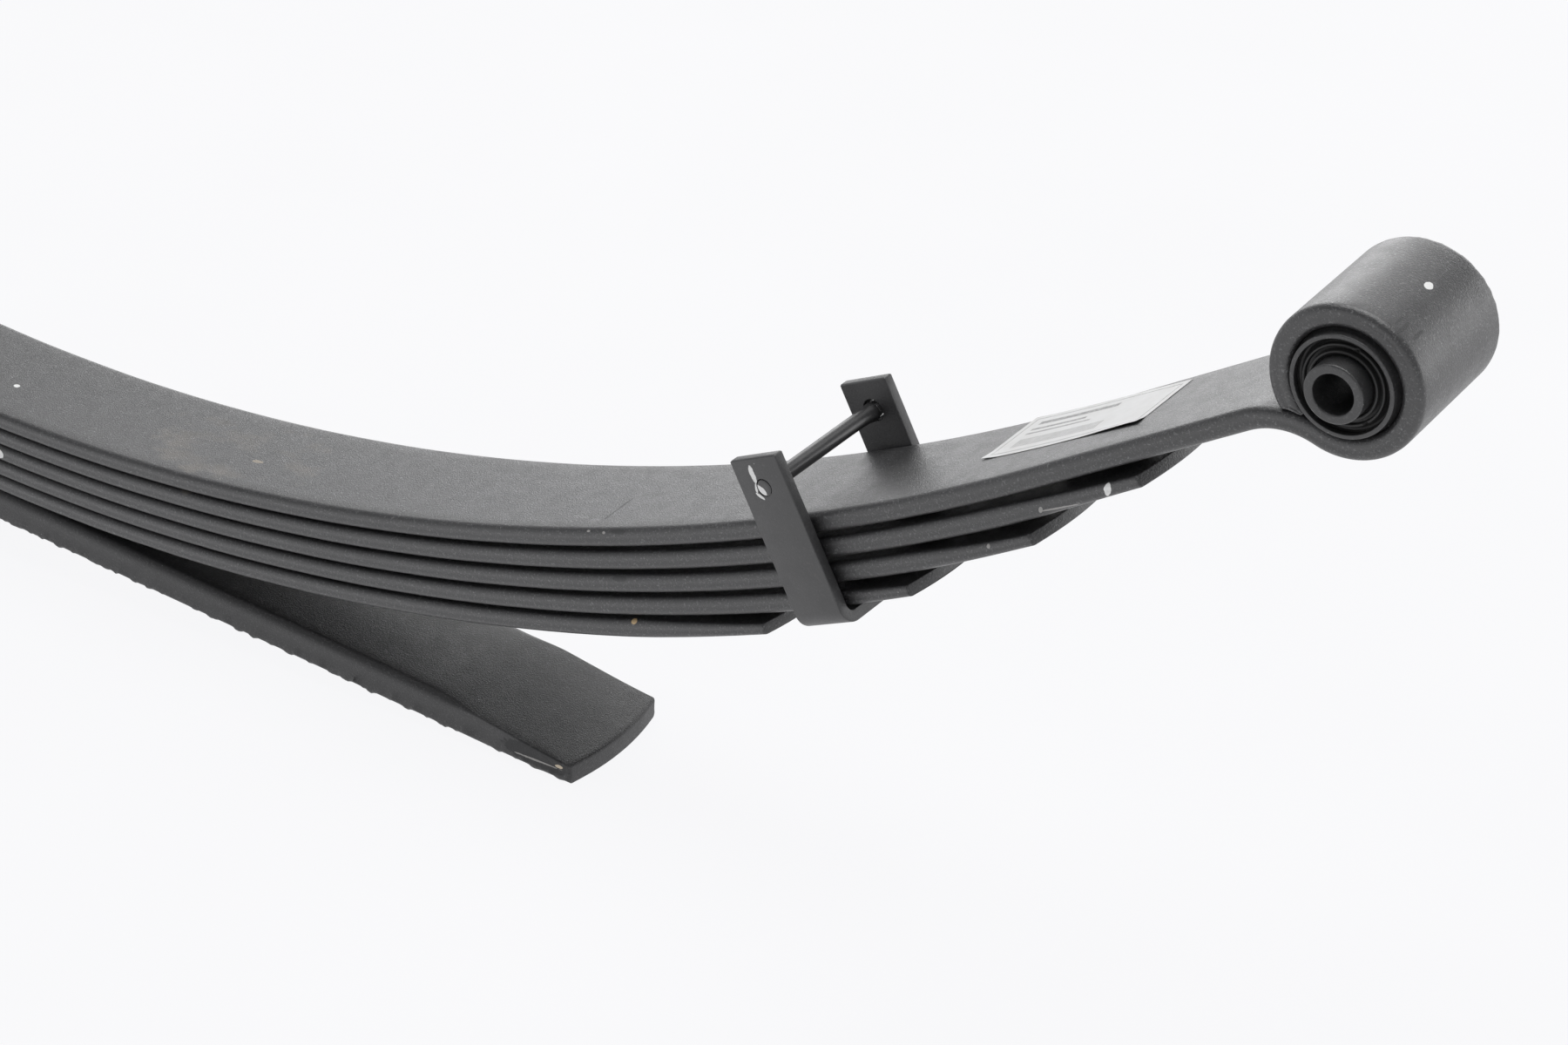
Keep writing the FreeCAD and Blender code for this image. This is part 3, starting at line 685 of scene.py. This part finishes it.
def bushing(end, side):
    """The three bushing pieces of one eye."""
    centre = (side * EYE.x, 0.0, EYE.z)
    body, inner = EYE_BORE_R - SHELL_WALL, SHELL_END_R - SHELL_WALL
    shell = [(body, 0.0), (body, 14.0), (body, SHELL_SWAGE_START), (inner + 0.3, SHELL_SWAGE_END - 0.6)]
    shell += [(inner, SHELL_SWAGE_END), (inner, SHELL_HALF - 0.4)]
    shell += arc_points(inner + 0.4, SHELL_HALF - 0.4, 0.4, 180, 90, 4)[1:]
    shell += arc_points(SHELL_END_R - 0.5, SHELL_HALF - 0.5, 0.5, 90, 0, 5)
    shell += [(SHELL_END_R, SHELL_SWAGE_END), (EYE_BORE_R - 0.3, SHELL_SWAGE_START + 0.5)]
    shell += [(EYE_BORE_R - 0.02, SHELL_SWAGE_START), (EYE_BORE_R - 0.02, 14.0), (EYE_BORE_R - 0.02, 0.0)]
    verts, faces = lathe(symmetric(shell), centre)
    new_piece("bushing_shell_%s_tube" % end, verts, faces, "bushing_shell_" + end,
              material=SHELL_PAINT)

    bore = SLEEVE_R + 0.05
    rubber = [(bore, 0.0), (bore, 15.0), (bore, RUBBER_FLOOR + 1.4)]
    for radius, wide, high in LIPS:
        rubber += arc_points(radius - wide - 0.3, RUBBER_FLOOR + 1.4, 0.3, 270, 360, 3)
        rubber += arc_points(radius, high - wide, wide, 180, 0, 8)
        rubber.append((radius + wide + 0.05, RUBBER_FLOOR + 0.9))
    rubber += [(inner - 1.1, RUBBER_FLOOR), (inner - 0.4, RUBBER_FLOOR + 0.3)]
    rubber += [(inner - 0.02, RUBBER_FLOOR + 1.2)]
    rubber += [(body - 0.02, SHELL_SWAGE_START - 0.2), (body - 0.02, 12.0), (body - 0.02, 0.0)]
    verts, faces = lathe(symmetric(rubber), centre, 240, lip_breaks)
    new_piece("bushing_rubber_%s_moulding" % end, verts, faces, "bushing_rubber_" + end,
              material=RUBBER)

    sleeve = [(SLEEVE_BORE_R, 0.0), (SLEEVE_BORE_R, 20.0), (SLEEVE_BORE_R, SLEEVE_HALF - 0.7)]
    sleeve += arc_points(SLEEVE_BORE_R + 0.7, SLEEVE_HALF - 0.7, 0.7, 180, 90, 4)[1:]
    sleeve += arc_points(SLEEVE_R - 0.8, SLEEVE_HALF - 0.8, 0.8, 90, 0, 5)
    sleeve += [(SLEEVE_R, 20.0), (SLEEVE_R, 0.0)]
    verts, faces = lathe(symmetric(sleeve), centre)
    new_piece("bushing_sleeve_%s_tube" % end, verts, faces, "bushing_sleeve_" + end,
              SHELL_PAINT, body="sleeve_" + end)


# ---------------------------------------------------------------- rebound clips
CLIP_X = 508.7
CLIP_LEAN = 1.8
CLIP_SKEW = 4.5
STRAP_WIDTH = 25.4
STRAP_T = 4.9
STRAP_INNER_HALF = 33.2
STRAP_BEND_R = 3.0
EAR_HEIGHT = 28.9
PIN_HEIGHT = 16.0
PIN_R = 3.4
RIVET_HEAD_R = 7.5
RIVET_HEAD_H = 4.0
CLIP_SLOPE = math.asin((CLIP_X - SEAT_FLAT) / ARCH_R)
CLIP_TURN = CLIP_SLOPE + math.radians(CLIP_LEAN)
CLIP_Z = ARCH_R * (1 - math.cos(CLIP_SLOPE))
CLIP_FOOT = STRAP_WIDTH / 2 + BAR_HALF * math.sin(math.radians(CLIP_SKEW))
STRAP_FLOOR = (4 * LEAF_T + 3 * FLAT_STEP * math.sin(CLIP_SLOPE) + CLIP_FOOT ** 2 / (2 * ARCH_R)
               + CLIP_FOOT * math.tan(math.radians(CLIP_LEAN)) + 0.15)


def clip_place(points, side):
    """Points of the clip's own frame (x along the leaf, z away from it), put in the row frame."""
    c, s = math.cos(CLIP_TURN), math.sin(CLIP_TURN)
    a, b = math.cos(math.radians(CLIP_SKEW)), math.sin(math.radians(CLIP_SKEW))
    askew = [(x * a + y * b, y * a - x * b, z) for x, y, z in points]
    return [(side * (CLIP_X + x * c - z * s), y, CLIP_Z + x * s + z * c) for x, y, z in askew]


def strap_path():
    """Outer line of the U, from the near ear's top round to the far one: (y, z, outward y, outward z)."""
    half, low, r = STRAP_INNER_HALF + STRAP_T, -STRAP_FLOOR - STRAP_T, STRAP_BEND_R + STRAP_T
    rows = []
    legs = [EAR_HEIGHT - 0.5 - k * (EAR_HEIGHT - 0.5 - low - r) / 14 for k in range(15)]
    rows += [(-half, z, -1.0, 0.0) for z in legs]
    for k in range(1, 11):
        a = math.radians(180 + 9 * k)
        rows.append((-half + r + r * math.cos(a), low + r + r * math.sin(a), math.cos(a), math.sin(a)))
    rows += [(-half + r + k * (2 * half - 2 * r) / 10, low, 0.0, -1.0) for k in range(1, 10)]
    for k in range(11):
        a = math.radians(270 + 9 * k)
        rows.append((half - r + r * math.cos(a), low + r + r * math.sin(a), math.cos(a), math.sin(a)))
    rows += [(half, z, 1.0, 0.0) for z in reversed(legs[:-1])]
    return rows


def strap(end, side):
    """The clip's bent strap."""
    ring = [(STRAP_WIDTH / 2 - 0.6 + 0.6 * math.cos(math.radians(a)), 0.6 - 0.6 * math.sin(math.radians(a)))
            for a in (90, 60, 30, 0)]
    ring += [(x, STRAP_T - d) for x, d in reversed(ring)]
    ring += [(-x, d) for x, d in reversed(ring)]
    rows = strap_path()
    points = []
    wide = [(0.55, 0.5), (0.3, 0.34), (0.12, 0.15)]
    first, last = rows[0], rows[-1]
    stack = [(first[0], first[1] + rise, first[2], first[3], inset) for inset, rise in wide]
    stack += [row + (0.0,) for row in rows]
    stack += [(last[0], last[1] + rise, last[2], last[3], inset) for inset, rise in reversed(wide)]
    for k, (y, z, oy, oz, inset) in enumerate(stack):
        for x, d in ring:
            shrink = 1 - inset / (STRAP_WIDTH / 2)
            depth = STRAP_T / 2 + (d - STRAP_T / 2) * (1 - inset / (STRAP_T / 2))
            jitter = 0.10 * noise.noise(Vector((k * 0.7, x, d * 0.5)))
            points.append((x * shrink + jitter, y - oy * depth, z - oz * depth))
    n = len(ring)
    faces = tube_faces(len(stack), n)
    faces.append(tuple(range(n)))
    faces.append(tuple(reversed(range((len(stack) - 1) * n, len(stack) * n))))
    piece = new_piece("clip_strap_%s_bar" % end, clip_place(points, side), faces, "clip_strap_" + end,
                      material=CLIP_PAINT)
    drill_ears(piece, side)
    paint_wear(piece, lambda v: 0.35)


def drill_ears(piece, side):
    """The pin's holes: snug outside, and wider on the inner faces where the pin's shoulders sit."""
    outline = [(PIN_R + 0.5, -50.0), (PIN_R + 0.5, -STRAP_INNER_HALF - 2.2)]
    outline += [(PIN_R + 1.45, -STRAP_INNER_HALF - 1.6), (PIN_R + 1.45, -STRAP_INNER_HALF - 0.25)]
    outline += [(PIN_R + 1.9, -STRAP_INNER_HALF + 0.2), (PIN_R + 1.9, 0.0)]
    outline = outline + [(r, -y) for r, y in reversed(outline[:-1])]
    verts, faces = capped_lathe(outline, (0, 0, PIN_HEIGHT), 48)
    mesh = bpy.data.meshes.new("drill")
    mesh.from_pydata([Vector(v) * MM for v in clip_place(verts, side)], [], faces)
    tool = bpy.data.objects.new("drill", mesh)
    bpy.context.scene.collection.objects.link(tool)
    finish_mesh(mesh, 30)
    cut = piece.modifiers.new("holes", "BOOLEAN")
    cut.operation = "DIFFERENCE"
    cut.solver = "EXACT"
    cut.object = tool
    graph = bpy.context.evaluated_depsgraph_get()
    solid = bpy.data.meshes.new_from_object(piece.evaluated_get(graph))
    piece.modifiers.clear()
    old = piece.data
    piece.data = solid
    bpy.data.meshes.remove(old)
    bpy.data.objects.remove(tool)
    finish_mesh(piece.data, 30)


def tube_between(segments, count):
    """Faces of an open lathe of count profile points, closed by a fan face at both ends."""
    faces = []
    for k in range(segments):
        a, b = k * count, ((k + 1) % segments) * count
        faces += [(a + j, a + j + 1, b + j + 1, b + j) for j in range(count - 1)]
    faces.append(tuple(k * count for k in reversed(range(segments))))
    faces.append(tuple(k * count + count - 1 for k in range(segments)))
    return faces


def capped_lathe(profile, centre, segments, bend=None):
    """Verts and faces of a (radius, y) outline turned about Y, closed by a disc at each end."""
    verts = []
    for k in range(segments):
        a = 2 * math.pi * k / segments
        for r, y in profile:
            dx, dz = bend(y) if bend else (0.0, 0.0)
            verts.append((centre[0] + r * math.cos(a) + dx, centre[1] + y, centre[2] + r * math.sin(a) + dz))
    return verts, tube_between(segments, len(profile))


def cross_pin(end, side):
    """The pin over the main leaf: swelled shoulders inside the ears, peened ends outside."""
    inner, outer = STRAP_INNER_HALF, STRAP_INNER_HALF + STRAP_T
    swell = [(PIN_R, inner - 9.0), (PIN_R + 0.1, inner - 5.0), (PIN_R + 0.45, inner - 3.0)]
    swell += [(PIN_R + 0.62, inner - 1.6), (PIN_R + 0.55, inner - 0.6), (PIN_R + 0.1, inner - 0.05)]
    swell += [(PIN_R - 0.1, inner + 0.3), (PIN_R - 0.05, outer - 0.7), (PIN_R + 0.02, outer - 0.1)]
    swell += [(PIN_R - 0.25, outer + 0.10), (PIN_R - 0.9, outer + 0.20), (PIN_R - 2.2, outer + 0.12)]
    swell += [(0.6, outer + 0.02)]
    half = [(PIN_R, 0.0), (PIN_R, 8.0), (PIN_R, 16.0)] + swell
    profile = [(r, -y) for r, y in reversed(half[1:])] + half

    def bend(y):
        droop = -0.35 * math.exp(-((y - inner + 3) / 4.0) ** 2)
        return 0.0, droop + 0.10 * math.sin(y / 17.0)

    verts, faces = capped_lathe(profile, (0, 0, PIN_HEIGHT), 64, bend)
    piece = new_piece("clip_cross_pin_%s_turned" % end, clip_place(verts, side), faces,
                      "clip_cross_pin_" + end, material=PIN_PAINT)
    paint_wear(piece, lambda v: 0.5 * smooth((abs(v.y) - outer + 0.6) / 0.6))


def rivet(end, side):
    """The rivet under the strap, with a domed head."""
    base = -STRAP_FLOOR - STRAP_T
    r = (RIVET_HEAD_R ** 2 + RIVET_HEAD_H ** 2) / (2 * RIVET_HEAD_H)
    top = math.degrees(math.asin(RIVET_HEAD_R / r))
    dome = [(r * math.sin(math.radians(a)), base - RIVET_HEAD_H + r - r * math.cos(math.radians(a)))
            for a in (0.8, 8, 16, 24, 32, 40, 48, top - 6, top - 2)]
    profile = dome + [(RIVET_HEAD_R, base - 0.25), (RIVET_HEAD_R - 0.2, base - 0.02), (4.0, base - 0.01)]
    profile += [(3.98, base + 2), (3.98, -STRAP_FLOOR + 4.3), (0.5, -STRAP_FLOOR + 4.4)]
    verts, faces = capped_lathe(profile, (0, 0, 0), 64)
    stood = [(x, z, y) for x, y, z in verts]
    piece = new_piece("clip_rivet_%s_turned" % end, clip_place(stood, side), faces,
                      "clip_rivet_" + end, material=CLIP_PAINT)
    paint_wear(piece, lambda v: 0.3)


EAR_MARK_LIFT = 0.5


def on_ear(x, z):
    """A place just off the front clip's near ear, from the clip's own frame."""
    return clip_place([(x, -STRAP_INNER_HALF - STRAP_T - EAR_MARK_LIFT, z)], 1)[0]


CLIP_MARKS = (
    (on_ear(-3.3, 22.2), (1.5, 1.0, 4.6), WHITE_DAB, 28),
    (on_ear(-4, 16.5), (0.9, 1.0, 2.4), WHITE_DAB, 12),
    (on_ear(-4, 12.8), (2.6, 1.0, 0.8), WHITE_DAB, -12),
)
CLIP_PAINT = painted_steel("satin_clip_paint", 0.028, 0.04, 0.46, CLIP_MARKS, 0.6)
PIN_MARKS = ((on_ear(-1.5, 15.1), (3.0, 1.5, 1.3), WHITE_DAB, -30),)
PIN_PAINT = painted_steel("pin_coat", 0.020, 0.0, 0.34, PIN_MARKS, 0.12)


# ---------------------------------------------------------------- center bolt and nut
BOLT_R = 4.76
BOLT_HEAD_R = 7.9
BOLT_HEAD_H = 8.0
BOLT_BELOW = 22.0
NUT_FLATS = 14.3
NUT_H = 8.3
THREAD_PITCH = 1.5875
THREAD_DEPTH = 0.85


def center_bolt():
    """Locating head, plain shank and a threaded end."""
    low = PACK_BOTTOM - BOLT_BELOW
    thread_top = PACK_BOTTOM + 6
    head_r, head = BOLT_HEAD_R, BOLT_HEAD_H
    rows = [(0.6, head, 0), (head_r - 1.6, head - 0.05, 0), (head_r - 0.9, head - 0.2, 0)]
    rows += [(head_r - 0.25, head - 0.8, 0), (head_r, head - 1.4, 0), (head_r, 0.3, 0)]
    rows += [(head_r - 0.25, 0.02, 0), (BOLT_R + 0.2, 0.02, 0), (BOLT_R, -0.3, 0), (BOLT_R, -25.0, 0)]
    rows += [(BOLT_R, thread_top + 1.0, 0)]
    steps = round((thread_top - low - 1.2) / (THREAD_PITCH / 8))
    rows += [(BOLT_R, thread_top - k * THREAD_PITCH / 8, min(1.0, k / 8)) for k in range(steps)]
    rows += [(BOLT_R - 0.9, low + 0.5, 0), (BOLT_R - 1.1, low + 0.05, 0), (0.5, low, 0)]
    segments, verts = 72, []
    for k in range(segments):
        a = 2 * math.pi * k / segments
        for r, z, cut in rows:
            wave = abs((z / THREAD_PITCH - k / segments) % 1.0 - 0.5) * 2
            fade = smooth((z - low - 0.9) / 1.2)
            r2 = r - cut * THREAD_DEPTH * wave - (0 if not cut else 0.35 * (1 - fade))
            verts.append((r2 * math.cos(a), r2 * math.sin(a), z))
    new_piece("center_bolt_turned", verts, tube_between(segments, len(rows)), "center_bolt",
              sharp=40, material=PHOSPHATE)


def center_bolt_nut():
    """Hexagon nut whose corners are turned off at its free face."""
    segments, low = 144, PACK_BOTTOM - NUT_H
    heights = [PACK_BOTTOM - 0.02, PACK_BOTTOM - 0.3] + [low + 0.68 - 0.068 * k for k in range(11)]
    verts = []
    for k in range(segments):
        a = 2 * math.pi * k / segments
        near = (a + math.pi / 6) % (math.pi / 3) - math.pi / 6
        flat = NUT_FLATS / 2 / math.cos(near)
        verts.append(((BOLT_R + 0.5) * math.cos(a), (BOLT_R + 0.5) * math.sin(a), heights[0]))
        for z in heights:
            r = min(flat, NUT_FLATS / 2 + (z - low) * math.tan(math.radians(60)))
            verts.append((r * math.cos(a), r * math.sin(a), z))
        verts.append(((BOLT_R + 0.6) * math.cos(a), (BOLT_R + 0.6) * math.sin(a), low + 0.01))
        verts.append((BOLT_R * math.cos(a), BOLT_R * math.sin(a), low + 0.6))
        verts.append((BOLT_R * math.cos(a), BOLT_R * math.sin(a), heights[0] - 0.5))
    faces = turned_faces(segments, len(verts) // segments)
    new_piece("center_bolt_nut_forged", verts, faces, "center_bolt_nut",
              sharp=25, material=PHOSPHATE)


# ---------------------------------------------------------------- paper label
LABEL_LENGTH = 82.0
LABEL_WIDTH = 38.0
LABEL_X = 610.0
LABEL_Y = 10.4
LABEL_TURN = 4.5


def label_material():
    """White paper with a thin frame line, plain grey bars and a panel of even stripes: no lettering."""
    material, shader, add, link = node_material("label_paper")
    spot = add("ShaderNodeSeparateXYZ", {"Vector": add("ShaderNodeUVMap", uv_map="label").outputs["UV"]})
    u, v = spot.outputs["X"], spot.outputs["Y"]

    def band(value, low, high):
        rise = maths(add, "GREATER_THAN", value, low)
        return maths(add, "MULTIPLY", rise, maths(add, "LESS_THAN", value, high))

    def box(u0, u1, v0, v1):
        return maths(add, "MULTIPLY", band(u, u0, u1), band(v, v0, v1))

    ink = maths(add, "SUBTRACT", box(0.035, 0.965, 0.07, 0.93), box(0.042, 0.958, 0.085, 0.915))
    for u0, u1, v0, v1 in ((0.10, 0.62, 0.74, 0.82), (0.10, 0.46, 0.60, 0.65), (0.10, 0.52, 0.50, 0.54)):
        ink = maths(add, "ADD", ink, box(u0, u1, v0, v1), True)
    stripe = maths(add, "GREATER_THAN", maths(add, "FRACT", maths(add, "MULTIPLY", u, 62.0)), 0.5)
    ink = maths(add, "ADD", ink, maths(add, "MULTIPLY", stripe, box(0.12, 0.66, 0.18, 0.38)), True)
    worn = remap(add, grain(add, 700.0, 3.0), 0.35, 0.6, 0.45, 0.75)
    patchy = remap(add, grain(add, 60.0, 5.0), 0.4, 0.8)
    paper = mixed(add, patchy, rgba(0.56), rgba(0.50, (1.0, 0.99, 0.97)))
    link(mixed(add, maths(add, "MULTIPLY", ink, worn), paper, rgba(0.06)), shader.inputs["Base Color"])
    link(remap(add, grain(add, 300.0), 0.3, 0.7, 0.42, 0.55), shader.inputs["Roughness"])
    bump = add("ShaderNodeBump", {"Height": grain(add, 1200.0), "Strength": 0.12, "Distance": 0.0001})
    link(bump.outputs["Normal"], shader.inputs["Normal"])
    return material


def paper_label():
    """The label, following the leaf, with its lower edge lifting a little."""
    across, along = 24, 48
    _, slope = top_of(0, LABEL_X)
    turn = math.radians(-LABEL_TURN)
    top, bottom, uvs = [], [], []
    for i in range(across + 1):
        for j in range(along + 1):
            u, v = j / along, i / across
            a, b = (u - 0.5) * LABEL_LENGTH, (v - 0.5) * LABEL_WIDTH
            along_leaf = a * math.cos(turn) - b * math.sin(turn)
            y = LABEL_Y + a * math.sin(turn) + b * math.cos(turn)
            x = LABEL_X + along_leaf * math.cos(slope)
            z, here = top_of(0, x)
            lift = 0.9 * smooth((u - 0.55) / 0.45) * smooth((0.16 - v) / 0.16)
            lift += 0.5 * smooth((0.12 - u) / 0.12) * smooth((0.2 - v) / 0.2)
            lift += 0.06 * (1 + noise.noise(Vector((a / 9, b / 9, 2.0))))
            n = (-math.sin(here), math.cos(here))
            top.append((x + n[0] * (0.16 + lift), y, z + n[1] * (0.16 + lift)))
            bottom.append((x + n[0] * (0.03 + lift), y, z + n[1] * (0.03 + lift)))
            uvs.append((u, v))
    w, count = along + 1, (along + 1) * (across + 1)
    faces = [(i * w + j, i * w + j + 1, (i + 1) * w + j + 1, (i + 1) * w + j)
             for i in range(across) for j in range(along)]
    faces += [tuple(count + k for k in reversed(f)) for f in list(faces)]
    rim = list(range(w)) + [i * w + along for i in range(1, across + 1)]
    rim += [across * w + j for j in range(along - 1, -1, -1)] + [i * w for i in range(across - 1, 0, -1)]
    faces += [(a, count + a, count + b, b) for a, b in zip(rim, rim[1:] + rim[:1])]
    piece = new_piece("paper_label_sheet", top + bottom, faces, "paper_label",
                      material=label_material())
    layer = piece.data.uv_layers.new(name="label")
    both = uvs + uvs
    for loop in piece.data.loops:
        layer.data[loop.index].uv = both[loop.vertex_index]


# ---------------------------------------------------------------- carried-over CAD pieces
def dress_tip_pads():
    """The anti-friction pads keep their CAD shape and get the nylon finish."""
    for name, node in frame["nodes"].items():
        if name.startswith("tip_pad"):
            node.data.materials.clear()
            node.data.materials.append(NYLON)


# ---------------------------------------------------------------- studio
CAMERA_AT = Vector((1.1363, -1.0348, 0.9039))
CAMERA_RIGHT = Vector((0.82839, 0.55825, 0.04631))
CAMERA_UP = Vector((-0.34089, 0.43678, 0.83248))
LENS_MM = 82.97
SENSOR_MM = 36.0
FLOOR_TILT = 3.13
FLOOR_GLOW = 0.925
FLOOR_CLEAR = 0.0008
FLOOR_HALF = 14.0
SKY_GLOW = 0.31
HORIZON_GLOW = 0.92
HAZE_TOP = 0.06
SKY_FROM = 0.28
SOFT_BOX_AIM = (0.4, 0.0, 0.1)
SOFT_BOXES = (
    ("back", (-0.6, 2.8, 0.7), (3.0, 1.9), 38.0),
    ("right", (2.1, 2.0, 0.5), (2.2, 1.4), 14.0),
    ("left", (-2.4, 2.3, 2.1), (1.8, 1.4), 14.0),
    ("overhead", (0.3, 0.4, 2.5), (2.4, 1.8), 45.0),
)


def camera():
    """The camera, at the photographed angle: the pack lies tipped on its bolt end and one overload tip."""
    data = bpy.data.cameras.new("camera")
    data.lens = LENS_MM
    data.sensor_width = SENSOR_MM
    data.clip_end = 50.0
    made = bpy.data.objects.new("camera", data)
    back = CAMERA_RIGHT.cross(CAMERA_UP).normalized()
    turn = Matrix((CAMERA_RIGHT.normalized(), CAMERA_UP.normalized(), back)).transposed()
    made.matrix_world = Matrix.Translation(CAMERA_AT) @ turn.to_4x4()
    bpy.context.scene.collection.objects.link(made)
    bpy.context.scene.camera = made


def soft_box(name, place, target, size, power):
    """A large rectangular area light."""
    data = bpy.data.lights.new(name, "AREA")
    data.shape = "RECTANGLE"
    data.size, data.size_y = size
    data.energy = power
    lamp = bpy.data.objects.new(name, data)
    lamp.location = place
    lamp.visible_camera = False
    lamp.rotation_euler = (Vector(target) - Vector(place)).to_track_quat("-Z", "Y").to_euler()
    bpy.context.scene.collection.objects.link(lamp)


def studio():
    """A glowing pale floor as on a light table, dim surroundings and soft boxes above and behind."""
    material, shader, add, link = node_material("floor_acrylic")
    tone = remap(add, grain(add, 3.0, 3.0), 0.3, 0.7, 0.035, 0.045)
    colour = add("ShaderNodeCombineColor", {"Red": tone, "Green": tone, "Blue": tone})
    link(colour.outputs["Color"], shader.inputs["Base Color"])
    shader.inputs["Roughness"].default_value = 0.9
    shader.inputs["Specular IOR Level"].default_value = 0.0
    shader.inputs["Emission Color"].default_value = (0.985, 0.985, 1.0, 1.0)
    shader.inputs["Emission Strength"].default_value = FLOOR_GLOW
    mesh = bpy.data.meshes.new("floor")
    square = ((-1, -1), (1, -1), (1, 1), (-1, 1))
    mesh.from_pydata([(x * FLOOR_HALF, y * FLOOR_HALF, 0) for x, y in square], [], [(0, 1, 2, 3)])
    floor = bpy.data.objects.new("floor", mesh)
    mesh.materials.append(material)
    floor.rotation_euler = (0, -math.radians(FLOOR_TILT), 0)
    floor.location = (0, 0, CAD_BOX[0].z - FLOOR_CLEAR)
    bpy.context.scene.collection.objects.link(floor)

    world = bpy.data.worlds.new("studio")
    bpy.context.scene.world = world
    world.use_nodes = True
    tree = world.node_tree
    sky = tree.nodes["Background"]
    sky.inputs["Color"].default_value = (0.97, 0.98, 1.0, 1.0)
    height = tree.nodes.new("ShaderNodeSeparateXYZ")
    fade = tree.nodes.new("ShaderNodeMapRange")
    fade.inputs["From Min"].default_value = HAZE_TOP
    fade.inputs["From Max"].default_value = SKY_FROM
    fade.inputs["To Min"].default_value = HORIZON_GLOW
    fade.inputs["To Max"].default_value = SKY_GLOW
    tree.links.new(tree.nodes.new("ShaderNodeTexCoord").outputs["Generated"], height.inputs["Vector"])
    tree.links.new(height.outputs["Z"], fade.inputs["Value"])
    tree.links.new(fade.outputs["Result"], sky.inputs["Strength"])
    for name, place, size, power in SOFT_BOXES:
        soft_box(name, place, SOFT_BOX_AIM, size, power)
    bpy.context.scene.view_settings.view_transform = "Standard"
    bpy.context.scene.view_settings.look = "None"


# ---------------------------------------------------------------- everything
camera()
main_leaf()
for number, leaf in enumerate(LEAF_REACH, start=1):
    short_leaf(number, leaf)
overload_leaf()
for end_name, end_side in (("front", 1), ("rear", -1)):
    bushing(end_name, end_side)
    strap(end_name, end_side)
    cross_pin(end_name, end_side)
    rivet(end_name, end_side)
center_bolt()
center_bolt_nut()
paper_label()
dress_tip_pads()
studio()
